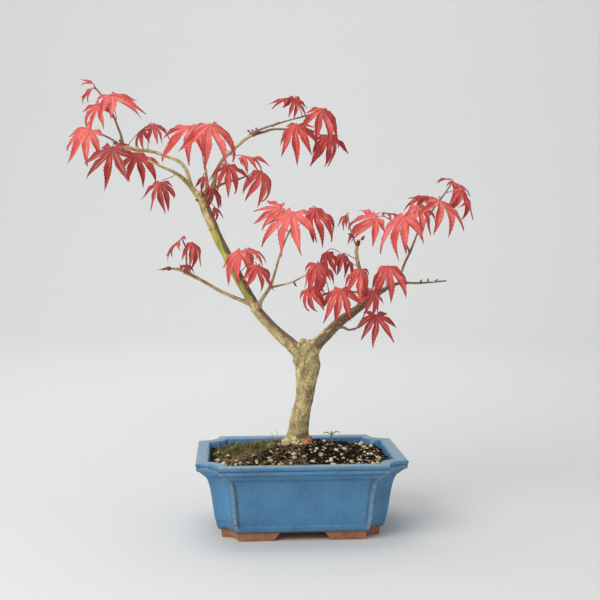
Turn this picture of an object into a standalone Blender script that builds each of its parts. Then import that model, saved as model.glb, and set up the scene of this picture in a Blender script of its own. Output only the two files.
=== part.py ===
"""Young red Japanese maple bonsai in a glazed rectangular pot with indented corners.

Lengths below are in millimetres and are turned into metres where meshes are made.
X runs along the pot's long side, Y from front to back, Z up. The design frame has its
origin under the middle of the pot. At the end everything is shifted together, so that
the middle of the whole object's footprint lies on the origin.
"""
import math

import bmesh
import bpy
from mathutils import Matrix, Vector

MM = 0.001
FIT_GAP = 0.3                 # clearance between pieces that touch

# Pot
POT_WIDTH = 210.0             # across the rim, along X
POT_DEPTH = 150.0             # across the rim, along Y
POT_HEIGHT = 80.0
NOTCH = 22.0                  # size of the indented corner at the rim
FOOT_NOTCH = 16.0             # size of the indented corner at the feet
NOTCH_POWER = 2.15            # 2 is a quarter circle, larger is squarer
RIM_HEIGHT = 8.5
RIM_LAND = 12.0               # width of the flat top of the rim
WALL = 6.5
FLOOR = 7.0
FOOT_HEIGHT = 9.0
FOOT_INSET = 25.5             # from the rim's edge to the foot's bottom edge
FOOT_STEP = 2.5               # ledge between the glazed body and the foot
FOOT_WIDTH = 15.0             # width of each L-shaped foot's arms
FOOT_GAP_LONG = 44.0          # opening between two feet, long side, at the top
FOOT_GAP_SHORT = 26.0         # the same on the short side
FOOT_GAP_FLARE = 7.0          # how much wider it gets at each end, at the bottom
CAVETTO_INSET = 12.0          # where the hollow under the rim meets the wall
CAVETTO_HEIGHT = 11.0
PANEL_DEPTH = 1.4
PANEL_FRAME = 5.0             # width of the raised frame at a panel's end
PANEL_SLOPE = 1.5             # width of the step from the frame down to the panel
PANEL_SILL = 4.0              # raised band between the ledge over a foot and the panel
WAIST_DROP = 15.0             # below the hollow under the rim, where the wall starts to flare
WAIST_INSET = 15.6
DRAIN_RADIUS = 9.0
DRAIN_INSET = 59.0            # from the rim's end to the middle of a drain hole

# Drain screens
SCREEN_SIZE = 26.0
SCREEN_THICKNESS = 1.2
SCREEN_CELLS = 3

# Soil
SOIL_DROP = 8.0               # soil edge below the top of the rim
SOIL_MOUND = 12.0             # how much higher the soil stands at the trunk
TRUNK_INSET = 56.0            # from the rim's back edge to the trunk's middle
TRUNK_BASE = (0.0, POT_DEPTH / 2 - TRUNK_INSET)

# Moss patch, an ellipse on the soil
MOSS_EDGE_INSET = 21.0        # from the rim's left end to the patch
MOSS_TRUNK_GAP = 24.0         # from the patch to the trunk's middle
MOSS_BACK_INSET = 39.0        # from the rim's back edge to the patch
MOSS_DEPTH = 44.0             # across the patch, along Y
MOSS_HEIGHT = 4.5
MOSS_EDGE = 0.8               # thickness at the patch's edge
MOSS_GAP = 0.8

# Seedling
SEEDLING_PLACE = (38.0, TRUNK_BASE[1] + 15.0)
SEEDLING_HEIGHT = 9.0
SEEDLING_STEM = 0.7
SEEDLING_DEPTH = 5.0

# Where the trunk's middle and the soil's edge lie in the tables of wood and leaves
TABLE_ORIGIN = (0.0, 19.0, 72.0)

# Wood: name -> (sides, [(x, y, z, radius), ...]), from the base to the tip
WOOD = {
    "trunk": (14, [
        (0, 19, 58, 8.0), (0, 19, 70, 13.5), (0, 19, 80, 14.5), (0, 19, 87, 13.2), (1, 18, 97, 11.0),
        (4, 16, 118, 9.6), (7, 15, 131, 9.2), (8, 12, 144, 10.2), (9, 10, 158, 12.0),
        (10, 9, 169, 13.0), (9, 8, 181, 10.5), (7, 8, 189, 5.5)]),
    "limb_left": (10, [
        (6, 9, 168, 9.0), (-2, 10, 183, 7.4), (-22, 16, 201, 5.9), (-40, 21, 220, 5.4),
        (-49, 24, 235, 5.3), (-61, 28, 256, 5.3), (-72, 31, 277, 5.2), (-83, 34, 298, 5.2),
        (-92, 36, 319, 5.3), (-98, 38, 334, 5.2), (-100, 38, 344, 3.6)]),
    "limb_right": (10, [
        (10, 8, 170, 9.0), (17, 7, 187, 7.0), (30, 3, 201, 5.8), (42, 0, 213, 5.2),
        (54, -2, 222, 4.6), (69, -2, 233, 3.7), (83, -1, 243, 2.6), (95, 1, 250, 2.0),
        (108, 3, 253, 1.5), (126, 2, 253, 1.1), (150, 1, 255, 0.8)]),
    "root_left": (6, [(-4, 18, 88, 6.5), (-13, 17, 83, 5.0), (-21, 16, 76, 3.6), (-28, 14, 66, 2.4)]),
    "root_front": (6, [(3, 13, 88, 5.5), (8, 5, 82, 4.2), (13, -3, 74, 2.8), (17, -9, 64, 2.0)]),
    "root_right": (6, [(5, 19, 88, 6.0), (14, 20, 82, 4.2), (22, 20, 74, 2.8), (29, 20, 64, 2.0)]),
    "root_back": (6, [(0, 24, 88, 6.0), (-3, 33, 82, 4.0), (-5, 42, 74, 2.6), (-6, 50, 64, 2.0)]),
    "top_left": (8, [
        (-99, 38, 338, 4.0), (-107, 36, 347, 3.0), (-115, 31, 356, 2.4), (-124, 25, 364, 1.9),
        (-134, 20, 369, 1.5), (-146, 17, 374, 1.2), (-154, 15, 379, 0.9)]),
    "upper_left": (8, [
        (-112, 34, 353, 2.2), (-116, 38, 369, 2.0), (-124, 43, 379, 1.9), (-138, 46, 385, 1.8),
        (-154, 48, 390, 1.8), (-171, 51, 392, 1.9), (-184, 52, 396, 3.0), (-189, 52.5, 398, 1.6)]),
    "tip_shoot": (6, [
        (-184, 52, 396, 1.8), (-185, 51, 405, 1.3), (-189, 49, 417, 1.1), (-195, 47, 432, 1.0),
        (-201, 44, 443, 0.9), (-211, 42, 455, 0.8)]),
    "tip_side": (6, [(-186, 52, 396, 1.6), (-194, 57, 402, 1.1), (-207, 62, 409, 0.9), (-217, 64, 413, 0.8)]),
    "top_right": (8, [
        (-99, 38, 336, 4.2), (-93, 37, 345, 3.2), (-88, 39, 355, 2.6), (-85, 42, 369, 2.2),
        (-78, 45, 382, 2.0), (-67, 48, 393, 1.8), (-56, 50, 403, 1.8), (-45, 49, 411, 2.2)]),
    "top_right_up": (6, [(-47, 49, 410, 1.8), (-36, 44, 415, 1.2), (-26, 39, 418, 1.0), (-18, 37, 421, 0.8)]),
    "top_right_low": (6, [
        (-47, 49, 409, 1.8), (-35, 50, 412, 1.4), (-25, 50, 415, 1.3), (-8, 48, 415, 1.1),
        (13, 43, 414, 1.0), (26, 39, 408, 0.8)]),
    "petiole_arc": (6, [(-27, 39, 417, 1.0), (-12, 36, 422, 0.8), (4, 32, 426, 0.8), (15, 29, 429, 0.8)]),
    "stub_up": (6, [(-95, 38, 344, 2.6), (-95, 33, 357, 1.8), (-96, 28, 368, 1.4), (-98, 25, 377, 1.0)]),
    "side_twig": (6, [(-89, 38, 351, 1.8), (-76, 41, 357, 1.2), (-63, 44, 361, 1.0), (-52, 46, 365, 0.8)]),
    "low_left": (8, [
        (-47, 24, 230, 2.8), (-62, 26, 235, 2.1), (-80, 27, 243, 1.9), (-101, 25, 255, 1.8),
        (-114, 21, 262, 2.0), (-122, 19, 266, 2.0), (-130, 17, 267, 1.0)]),
    "low_left_up": (6, [(-115, 21, 262, 1.4), (-116, 20, 275, 0.9), (-116, 19, 287, 0.9), (-119, 18, 295, 0.7)]),
    "middle": (8, [
        (-42, 22, 225, 2.8), (-38, 17, 235, 2.0), (-30, 9, 248, 1.7), (-25, 3, 264, 1.3),
        (-21, -1, 279, 1.2), (-16, -4, 294, 1.1), (-9, -5, 309, 0.9)]),
    "middle_side": (6, [(-30, 9, 248, 1.3), (-15, 12, 251, 0.9), (-5, 14, 254, 0.9), (9, 18, 261, 0.6)]),
    "right_low": (6, [(35, 1, 206, 2.0), (44, -9, 208, 1.3), (50, -15, 206, 1.1), (60, -22, 210, 0.9),
                      (68, -26, 217, 0.8)]),
    "right_mid_up": (8, [
        (65, -2, 229, 2.6), (65, -6, 246, 2.2), (65, -8, 259, 2.1), (60, -10, 270, 2.0),
        (57, -12, 284, 1.9), (58, -12, 291, 1.4)]),
    "right_mid_stem": (6, [(58, -12, 288, 1.0), (54, -12, 299, 0.7), (50, -13, 310, 0.7), (48, -14, 320, 0.7)]),
    "right_up": (6, [
        (105, 3, 253, 1.5), (107, 5, 264, 1.3), (111, 8, 274, 1.3), (117, 12, 285, 1.3),
        (122, 13, 297, 1.1), (126, 15, 306, 1.0), (133, 16, 317, 1.0)]),
    "right_up_fork": (6, [(117, 12, 284, 1.1), (112, 9, 294, 1.0), (109, 6, 304, 1.2), (109, 4, 311, 0.9)]),
    "right_top": (6, [(133, 16, 316, 1.0), (141, 18, 328, 0.9), (150, 19, 340, 0.9), (156, 20, 348, 0.8),
                      (162, 20, 357, 0.7)]),
    "right_back": (6, [(88, 0, 246, 1.8), (73, -13, 243, 1.3), (50, -17, 245, 1.1), (34, -18, 245, 1.0),
                       (25, -19, 243, 0.8)]),
}

# Leaves
LEAF_THICKNESS = 0.9
PETIOLE_WIDTH = 1.1
PETIOLE_STANDOFF = 0.2        # the flat petiole's end leans, so it starts this much farther out
PETIOLE_NECK = 1.6            # length of the neck between petiole and knuckle
PETIOLE_RISE = 0.06           # how far a petiole arches up, as a share of its length
PETIOLE_SWEEP = 0.35          # how far it swings back where its twig lies under the blade
LOBE_WIDTH = 0.1              # half width of a lobe, as a share of the leaf's length
LOBE_WAIST = 0.45             # how far along a lobe its widest place lies
SINUS_REACH = 0.27            # how deep the blade is cut between two lobes
SINUS_SHARE = 0.4             # a cut ends no farther out than this share of the shorter lobe
LOBE_ROOM = 0.9               # share of the room between its neighbours that a folded lobe fills
LOBES = {
    3: [(0, 1.0), (30, 0.8)],
    5: [(0, 1.0), (36, 0.93), (76, 0.66)],
    7: [(0, 1.0), (33, 0.95), (68, 0.8), (108, 0.42)],
}

# (branch, place along it, knuckle, heading, pitch, bank, droop, length, lobes)
# heading turns about Z from +X, pitch tips the middle lobe down, bank rolls the blade
# about its middle lobe, droop folds the lobes down; all are in degrees.
LEAVES = [
    ("tip_shoot", 1.0, (-212, 38, 458), 180, -20, -30, 10, 16, 3),
    ("tip_shoot", 0.97, (-213, 38, 453), 190, 42, -30, 10, 19, 3),
    ("tip_shoot", 0.45, (-193, 34, 446), 322, 26, 20, 15, 42, 5),
    ("tip_shoot", 0.5, (-205, 32, 436), 222, 52, -15, 18, 31, 5),
    ("tip_side", 1.0, (-217, 56, 412), 200, 38, -38, 14, 44, 5),
    ("upper_left", 1.0, (-192, 28, 391), 250, 60, 0, 16, 47, 7),
    ("upper_left", 0.8, (-163, 64, 415), 201, 38, -20, 28, 26, 5),
    ("upper_left", 0.75, (-166, 43, 388), 280, 36, 0, 42, 36, 5),
    ("upper_left", 0.6, (-151, 56, 419), 325, 35, 20, 28, 24, 5),
    ("stub_up", 1.0, (-108, 12, 405), 215, 22, -15, 28, 47, 7),
    ("stub_up", 0.97, (-90, -12, 401), 300, 36, 8, 28, 47, 7),
    ("top_right", 0.66, (-82, 62, 412), 345, 10, 0, 15, 15, 3),
    ("stub_up", 0.6, (-98, 12, 362), 263, 75, 0, 15, 18, 3),
    ("top_left", 0.55, (-141, 10, 355), 255, 42, 0, 36, 34, 7),
    ("top_right", 0.2, (-88, 24, 350), 313, 40, 0, 35, 24, 5),
    ("limb_left", 0.88, (-87, 14, 331), 318, 50, 0, 18, 19, 3),
    ("top_right", 0.5, (-72, 27, 375), 262, 40, 0, 40, 31, 5),
    ("top_right", 0.65, (-56, 43, 386), 335, -5, 10, 34, 29, 5),
    ("side_twig", 1.0, (-38, 37, 369), 304, 42, 0, 40, 38, 7),
    ("petiole_arc", 0.7, (-7, 29, 445), 180, 0, 0, 15, 27, 5),
    ("petiole_arc", 0.8, (-3, 22, 443), 295, 70, 0, 12, 24, 3),
    ("top_right_low", 0.65, (-1, 26, 417), 250, 46, 0, 28, 39, 7),
    ("petiole_arc", 1.0, (25, 15, 432), 292, 40, 0, 32, 43, 7),
    ("top_right_low", 1.0, (33, 34, 407), 278, 45, 0, 44, 38, 5),
    ("middle", 1.0, (-9, -22, 324), 228, 40, -6, 22, 51, 7),
    ("middle", 0.95, (-18, 7, 329), 188, 12, -40, 12, 35, 5),
    ("middle", 0.98, (16, -2, 330), 276, 32, 0, 48, 43, 7),
    ("right_up_fork", 1.0, (80, 6, 321), 186, 14, -38, 22, 44, 5),
    ("right_mid_stem", 1.0, (48, 0, 323), 225, 40, 0, 20, 19, 3),
    ("low_left_up", 1.0, (-121, 15, 298), 185, 42, 0, 8, 28, 3),
    ("low_left_up", 0.8, (-109, 13, 294), 310, 30, 0, 44, 29, 5),
    ("low_left", 0.75, (-115, 13, 271), 295, 30, 0, 25, 13, 5),
    ("low_left", 1.0, (-132, 13, 267), 175, 0, 0, 8, 13, 3),
    ("limb_left", 0.6, (-62, 6, 286), 222, 36, -8, 36, 40, 7),
    ("limb_left", 0.58, (-51, 22, 288), 330, 14, 15, 36, 26, 5),
    ("limb_left", 0.52, (-43, -3, 271), 295, 44, 0, 34, 29, 5),
    ("right_mid_up", 0.6, (30, 14, 285), 240, 30, 0, 48, 28, 5),
    ("right_back", 0.9, (16, -30, 273.5), 277, 36, 0, 44, 33, 7),
    ("right_mid_up", 0.72, (43, -17, 283), 292, 30, 0, 48, 26, 5),
    ("right_back", 1.0, (11, -18, 249), 235, 42, 0, 34, 27, 5),
    ("right_back", 0.7, (38, -33, 248), 255, 46, 0, 32, 33, 7),
    ("right_back", 0.4, (57, -40, 268), 262, 34, 0, 46, 30, 5),
    ("limb_right", 0.66, (89, -22, 271), 268, 24, 0, 42, 39, 7),
    ("limb_right", 0.45, (70, -33, 247), 305, 44, 0, 32, 27, 5),
    ("right_low", 1.0, (74, -32, 222), 270, 52, 0, 10, 34, 7),
    ("right_up_fork", 0.97, (103, -26, 321), 222, 32, -8, 26, 47, 7),
    ("right_up", 0.95, (122, -6, 332), 285, 40, 0, 34, 37, 7),
    ("right_up_fork", 0.94, (92, 19, 326), 345, 0, 0, 18, 22, 5),
    ("right_top", 0.45, (140, 19, 343), 190, -12, 0, 24, 36, 5),
    ("right_top", 0.5, (143, -8, 338), 308, 30, 0, 24, 46, 7),
    ("right_top", 1.0, (162, 18, 361), 180, -12, 0, 10, 20, 3),
    ("right_top", 0.75, (171, 11, 350), 303, 40, 0, 44, 35, 5),
    ("right_top", 0.97, (169, 37, 360), 336, 20, 10, 24, 27, 5),
]


# ---------------------------------------------------------------- scene and materials

def clear_scene():
    for obj in list(bpy.data.objects):
        bpy.data.objects.remove(obj, do_unlink=True)


def make_material(name, colour, roughness):
    """Principled material of one colour (linear RGB)."""
    material = bpy.data.materials.new(name)
    material.use_nodes = True
    shader = material.node_tree.nodes["Principled BSDF"]
    shader.inputs["Base Color"].default_value = (*colour, 1.0)
    shader.inputs["Roughness"].default_value = roughness
    shader.inputs["Metallic"].default_value = 0.0
    return material


def add_object(name, bm, material, parent, place=(0.0, 0.0, 0.0)):
    """Turn a bmesh in millimetres into an object in metres, placed at place."""
    bmesh.ops.scale(bm, vec=(MM, MM, MM), verts=bm.verts)
    mesh = bpy.data.meshes.new(name)
    bm.to_mesh(mesh)
    bm.free()
    obj = bpy.data.objects.new(name, mesh)
    bpy.context.scene.collection.objects.link(obj)
    if material is not None:
        mesh.materials.append(material)
    obj.parent = parent
    obj.location = Vector(place) * MM
    return obj


def add_helper(name, bm, parent, collection=None):
    """A cutter or a tube that only feeds a Boolean."""
    obj = add_object(name, bm, None, parent)
    obj.hide_render = True
    obj.display_type = "WIRE"
    if collection is not None:
        collection.objects.link(obj)
    return obj


def new_helper_collection(name):
    collection = bpy.data.collections.new(name)
    bpy.context.scene.collection.children.link(collection)
    return collection


def add_boolean(obj, operation, cutter=None, collection=None):
    modifier = obj.modifiers.new(operation.title(), "BOOLEAN")
    modifier.operation = operation
    modifier.solver = "EXACT"
    if collection is not None:
        modifier.operand_type = "COLLECTION"
        modifier.collection = collection
    else:
        modifier.object = cutter


# ---------------------------------------------------------------- shape tools

def loft(bm, loops):
    """Skin closed loops of equal length, lowest first, and cap both ends."""
    rings = [[bm.verts.new(point) for point in loop] for loop in loops]
    for low, high in zip(rings, rings[1:]):
        for i, corner in enumerate(low):
            j = (i + 1) % len(low)
            bm.faces.new((corner, low[j], high[j], high[i]))
    bm.faces.new(reversed(rings[0]))
    bm.faces.new(rings[-1])
    return rings


def box_bmesh(centre, size, top_shrink=(0.0, 0.0)):
    """A box standing on its bottom face's centre; the top may be narrower."""
    bm = bmesh.new()
    x, y, z = centre
    loops = []
    for height, shrink in ((0.0, (0.0, 0.0)), (size[2], top_shrink)):
        half_x = size[0] / 2 - shrink[0]
        half_y = size[1] / 2 - shrink[1]
        loops.append([(x - half_x, y - half_y, z + height), (x + half_x, y - half_y, z + height),
                      (x + half_x, y + half_y, z + height), (x - half_x, y + half_y, z + height)])
    loft(bm, loops)
    return bm


def smooth_path(points, steps):
    """Points (x, y, z, radius) on a Catmull-Rom curve through the given ones."""
    rows = [Vector(point) for point in points]
    rows = [rows[0] * 2 - rows[1]] + rows + [rows[-1] * 2 - rows[-2]]
    curve = []
    for a, b, c, d in zip(rows, rows[1:], rows[2:], rows[3:]):
        for step in range(steps):
            t = step / steps
            curve.append(0.5 * (2 * b + (c - a) * t + (2 * a - 5 * b + 4 * c - d) * t * t
                                + (3 * b - 3 * c + d - a) * t ** 3))
    curve.append(rows[-2])
    return curve


def tube(bm, points, sides, grow=0.0):
    """A closed tube of changing radius along points; grow widens and lengthens it."""
    centres = [Vector(point[:3]) for point in points]
    radii = [point[3] + grow for point in points]
    first = (centres[1] - centres[0]).normalized()
    last = (centres[-1] - centres[-2]).normalized()
    centres[0] = centres[0] - first * grow
    centres[-1] = centres[-1] + last * grow
    tangents = []
    for i in range(len(centres)):
        ahead = centres[min(i + 1, len(centres) - 1)]
        behind = centres[max(i - 1, 0)]
        tangents.append((ahead - behind).normalized())
    side = tangents[0].orthogonal().normalized()
    loops = []
    for centre, tangent, radius in zip(centres, tangents, radii):
        side = (side - tangent * side.dot(tangent)).normalized()
        other = tangent.cross(side)
        ring = []
        for k in range(sides):
            angle = math.tau * k / sides
            ring.append(centre + (side * math.cos(angle) + other * math.sin(angle)) * radius)
        loops.append(ring)
    loft(bm, loops)


# ---------------------------------------------------------------- pot

def notch_curve(size, steps=5):
    """Points of one indented corner, from one side to the other, bulging inward."""
    curve = []
    for i in range(steps + 1):
        angle = math.pi / 2 * i / steps
        u = size * math.cos(angle) ** (2 / NOTCH_POWER)
        v = size * math.sin(angle) ** (2 / NOTCH_POWER)
        curve.append((u, v))
    return curve


def pot_outline(inset, notch, recess=0.0):
    """Plan of the pot, anticlockwise. Panels on the four sides lie recess deeper."""
    half_x = POT_WIDTH / 2 - inset
    half_y = POT_DEPTH / 2 - inset
    corner = notch_curve(notch)
    points = []
    for turn in range(4):
        long_side = turn % 2 == 0
        along = half_x if long_side else half_y
        out = half_y if long_side else half_x
        end = along - notch
        frame = end - PANEL_FRAME
        panel = frame - PANEL_SLOPE
        local = [(-frame, -out), (-panel, -out + recess), (0.0, -out + recess),
                 (panel, -out + recess), (frame, -out)]
        local += [(along - u, -out + v) for u, v in corner]
        cosine = round(math.cos(math.pi / 2 * turn))
        sine = round(math.sin(math.pi / 2 * turn))
        points += [(x * cosine - y * sine, x * sine + y * cosine) for x, y in local]
    return points


def notch_at(z):
    """Corner size at height z: it shrinks from the rim to the feet."""
    share = min(max(z / POT_HEIGHT, 0.0), 1.0)
    return FOOT_NOTCH + (NOTCH - FOOT_NOTCH) * share


def outer_profile():
    """(height, inset, panel recess) up the outside of the pot."""
    rim_bottom = POT_HEIGHT - RIM_HEIGHT
    wall_top = rim_bottom - CAVETTO_HEIGHT
    ledge = FOOT_HEIGHT + 0.5
    ledge_inset = FOOT_INSET - FOOT_STEP - 0.8
    sill = ledge + PANEL_SILL
    return [
        (0.0, FOOT_INSET, 0.0),
        (FOOT_HEIGHT, FOOT_INSET - 0.8, 0.0),
        (ledge, ledge_inset, 0.0),
        (sill, ledge_inset - 1.6, 0.0),
        (sill + 2.0, ledge_inset - 2.2, PANEL_DEPTH),
        (wall_top - WAIST_DROP, WAIST_INSET, PANEL_DEPTH),
        (wall_top - 1.5, CAVETTO_INSET + 0.6, PANEL_DEPTH),
        (wall_top + 0.5, CAVETTO_INSET - 0.4, 0.0),
        (rim_bottom - 5.0, CAVETTO_INSET - 4.6, 0.0),
        (rim_bottom - 1.5, CAVETTO_INSET - 8.6, 0.0),
        (rim_bottom, 1.4, 0.0),
        (rim_bottom + 1.2, 0.3, 0.0),
        (POT_HEIGHT - 1.5, 0.0, 0.0),
        (POT_HEIGHT, 1.5, 0.0),
    ]


def inner_inset(z):
    """Inset of the pot's inner wall at height z."""
    rim_bottom = POT_HEIGHT - RIM_HEIGHT
    low = FOOT_INSET - FOOT_STEP + WALL - 1.0
    high = CAVETTO_INSET + WALL - 1.5
    floor = FOOT_HEIGHT + FLOOR
    if z >= rim_bottom:
        return RIM_LAND + 2.0 * (POT_HEIGHT - z) / RIM_HEIGHT
    share = (z - floor) / (rim_bottom - CAVETTO_HEIGHT - floor)
    if share <= 1.0:
        return low + (high - low) * share
    lip = RIM_LAND + 2.0
    rest = (z - (rim_bottom - CAVETTO_HEIGHT)) / CAVETTO_HEIGHT
    return high + (lip - high) * rest


def inner_heights():
    rim_bottom = POT_HEIGHT - RIM_HEIGHT
    return [FOOT_HEIGHT + FLOOR, rim_bottom - CAVETTO_HEIGHT, rim_bottom, POT_HEIGHT]


def loop_at(z, inset, notch, recess=0.0):
    return [(x, y, z) for x, y in pot_outline(inset, notch, recess)]


def inner_loop(z, gap=0.0):
    return loop_at(z, inner_inset(z) + gap, notch_at(z) * 0.8)


def drain_places():
    """(name, x) of the two drain holes."""
    x = POT_WIDTH / 2 - DRAIN_INSET
    return [("left", -x), ("right", x)]


def foot_cutters(parent):
    """Solids that leave four L-shaped feet under the pot."""
    top = FOOT_HEIGHT - 0.4
    depth = top + 2.0
    flare = FOOT_GAP_FLARE * depth / top
    span_x = POT_WIDTH - 2 * (FOOT_INSET + FOOT_WIDTH)
    span_y = POT_DEPTH - 2 * (FOOT_INSET + FOOT_WIDTH)
    bottom = (0.0, 0.0, top - depth)
    shapes = {
        "foot_gap_long": box_bmesh(bottom, (FOOT_GAP_LONG + 2 * flare, POT_DEPTH, depth), (flare, 0.0)),
        "foot_gap_short": box_bmesh(bottom, (POT_WIDTH, FOOT_GAP_SHORT + 2 * flare, depth), (0.0, flare)),
        "foot_recess": box_bmesh(bottom, (span_x, span_y, depth)),
    }
    return [add_helper(name, bm, parent) for name, bm in shapes.items()]


def drain_cutters(parent):
    cutters = []
    for side, x in drain_places():
        bm = bmesh.new()
        ends = [(x, 0, 0, DRAIN_RADIUS), (x, 0, FOOT_HEIGHT + FLOOR + 5, DRAIN_RADIUS)]
        tube(bm, ends, 20)
        cutters.append(add_helper("drain_" + side, bm, parent))
    return cutters


def build_pot(parent):
    """Glazed pot: outer skin up, over the rim, and down the inside."""
    bm = bmesh.new()
    outer = [loop_at(z, inset, notch_at(z), recess) for z, inset, recess in outer_profile()]
    inner = [inner_loop(z) for z in reversed(inner_heights())]
    loft(bm, outer + inner)
    glaze = make_material("blue_glaze", (0.09, 0.26, 0.46), 0.3)
    pot = add_object("pot", bm, glaze, parent)
    for cutter in foot_cutters(parent) + drain_cutters(parent):
        add_boolean(pot, "DIFFERENCE", cutter)
    return pot


def build_screens(parent):
    """Plastic mesh squares over the two drain holes."""
    plastic = make_material("black_plastic", (0.02, 0.02, 0.02), 0.5)
    cells = 2 * SCREEN_CELLS + 1
    for side, x in drain_places():
        bm = bmesh.new()
        bmesh.ops.create_grid(bm, x_segments=cells, y_segments=cells, size=SCREEN_SIZE / 2)
        bm.faces.ensure_lookup_table()
        pitch = SCREEN_SIZE / cells
        holes = []
        for face in bm.faces:
            middle = face.calc_center_median()
            column = int((middle.x + SCREEN_SIZE / 2) / pitch)
            row = int((middle.y + SCREEN_SIZE / 2) / pitch)
            if column % 2 == 1 and row % 2 == 1:
                holes.append(face)
        bmesh.ops.delete(bm, geom=holes, context="FACES")
        base = FOOT_HEIGHT + FLOOR + FIT_GAP
        screen = add_object("drain_screen_" + side, bm, plastic, parent, (x, 0.0, base))
        solidify = screen.modifiers.new("Thickness", "SOLIDIFY")
        solidify.thickness = SCREEN_THICKNESS * MM
        solidify.offset = 1.0


# ---------------------------------------------------------------- soil and what grows in it

def soil_edge():
    return POT_HEIGHT - SOIL_DROP


def soil_rings():
    """(share of the way from the trunk to the edge, height) of the soil's top."""
    shares = (1.0, 0.86, 0.68, 0.5, 0.34, 0.2)
    rings = []
    for share in shares:
        rise = 0.5 + 0.5 * math.cos(math.pi * min(share, 1.0))
        rings.append((share, soil_edge() + SOIL_MOUND * rise ** 1.2))
    return rings


def soil_height(x, y):
    """Height of the soil's top at a place in plan."""
    half_x = POT_WIDTH / 2 - inner_inset(soil_edge())
    half_y = POT_DEPTH / 2 - inner_inset(soil_edge())
    dx = x - TRUNK_BASE[0]
    dy = y - TRUNK_BASE[1]
    reach_x = half_x - math.copysign(TRUNK_BASE[0], dx)
    reach_y = half_y - (TRUNK_BASE[1] if dy > 0 else -TRUNK_BASE[1])
    share = min(max(abs(dx) / reach_x, abs(dy) / reach_y), 1.0)
    rings = soil_rings()
    for (far, low), (near, high) in zip(rings, rings[1:]):
        if near <= share <= far:
            return low + (high - low) * (far - share) / (far - near)
    return rings[-1][1]


def build_soil(parent, socket):
    bm = bmesh.new()
    floor = FOOT_HEIGHT + FLOOR
    heights = [floor + FIT_GAP] + [z for z in inner_heights()[1:] if z < soil_edge()]
    loops = [inner_loop(z, FIT_GAP) for z in heights]
    edge = inner_loop(soil_edge(), FIT_GAP)
    for share, z in soil_rings():
        loop = []
        for x, y, _ in edge:
            loop.append((TRUNK_BASE[0] + (x - TRUNK_BASE[0]) * share,
                         TRUNK_BASE[1] + (y - TRUNK_BASE[1]) * share, z))
        loops.append(loop)
    loft(bm, loops)
    soil = add_object("soil", bm, make_material("soil", (0.035, 0.027, 0.02), 0.95), parent)
    size = SCREEN_SIZE + 2 * FIT_GAP
    for side, x in drain_places():
        pocket = box_bmesh((x, 0.0, floor - 2.0),
                           (size, size, 2.0 + 2 * FIT_GAP + SCREEN_THICKNESS))
        add_boolean(soil, "DIFFERENCE", add_helper("screen_pocket_" + side, pocket, parent))
    add_boolean(soil, "DIFFERENCE", collection=socket)
    return soil


def build_moss(parent):
    """A low cushion that follows the soil under it."""
    bm = bmesh.new()
    sides = 20
    shares = (0.2, 0.55, 0.85, 1.0)
    left = -POT_WIDTH / 2 + MOSS_EDGE_INSET
    right = TRUNK_BASE[0] - MOSS_TRUNK_GAP
    radius_x = (right - left) / 2
    radius_y = MOSS_DEPTH / 2
    middle_y = POT_DEPTH / 2 - MOSS_BACK_INSET - radius_y
    bottom = []
    top = []
    for share in shares:
        low = []
        high = []
        for k in range(sides):
            angle = math.tau * k / sides
            x = left + radius_x + radius_x * share * math.cos(angle)
            y = middle_y + radius_y * share * math.sin(angle)
            ground = soil_height(x, y) + MOSS_GAP
            low.append((x, y, ground))
            high.append((x, y, ground + MOSS_EDGE + MOSS_HEIGHT * (1.0 - share ** 2)))
        bottom.append(low)
        top.append(high)
    loft(bm, bottom + list(reversed(top)))
    return add_object("moss_patch", bm, make_material("moss", (0.1, 0.12, 0.03), 0.9), parent)


def seedling_stem():
    x, y = SEEDLING_PLACE
    ground = soil_height(x, y)
    return [(x, y, ground - SEEDLING_DEPTH, SEEDLING_STEM), (x, y, ground + 2, SEEDLING_STEM),
            (x, y, ground + SEEDLING_HEIGHT, SEEDLING_STEM)]


def build_seedling(parent):
    """Green stem with two seed leaves."""
    bm = bmesh.new()
    stem = seedling_stem()
    tube(bm, stem, 6)
    seedling = add_object("seedling", bm, make_material("seedling", (0.18, 0.32, 0.06), 0.6), parent)
    leaves = new_helper_collection("seedling_parts")
    x, y, top, _ = stem[-1]
    for side in (-1, 1):
        leaf = bmesh.new()
        blade = [(x, y, top - 1.2, 0.5), (x + side * 3.5, y, top + 1.2, 1.5),
                 (x + side * 7.0, y, top + 2.2, 1.2), (x + side * 9.0, y, top + 2.2, 0.4)]
        tube(leaf, blade, 6)
        add_helper("seed_leaf_left" if side < 0 else "seed_leaf_right", leaf, parent, leaves)
    add_boolean(seedling, "UNION", collection=leaves)


# ---------------------------------------------------------------- wood

def tree_shift():
    """From the tables' places to where the soil and trunk now are."""
    return Vector((*TRUNK_BASE, soil_edge())) - Vector(TABLE_ORIGIN)


def wood_points(name):
    """(x, y, z, radius) along one branch, as planted."""
    shift = tree_shift()
    return [(*(Vector(row[:3]) + shift), row[3]) for row in WOOD[name][1]]


def wood_path(name):
    sides = WOOD[name][0]
    return sides, smooth_path(wood_points(name), 2 if sides >= 8 else 1)


def build_wood(parent):
    """The trunk with every root, limb and twig joined to it as one grown piece."""
    bm = bmesh.new()
    sides, path = wood_path("trunk")
    tube(bm, path, sides)
    wood = add_object("trunk_and_branches", bm, make_material("bark", (0.3, 0.22, 0.12), 0.8), parent)
    limbs = new_helper_collection("limbs")
    for name in WOOD:
        if name == "trunk":
            continue
        limb = bmesh.new()
        sides, path = wood_path(name)
        tube(limb, path, sides)
        add_helper("limb_" + name, limb, parent, limbs)
    add_boolean(wood, "UNION", collection=limbs)
    return wood


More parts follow.
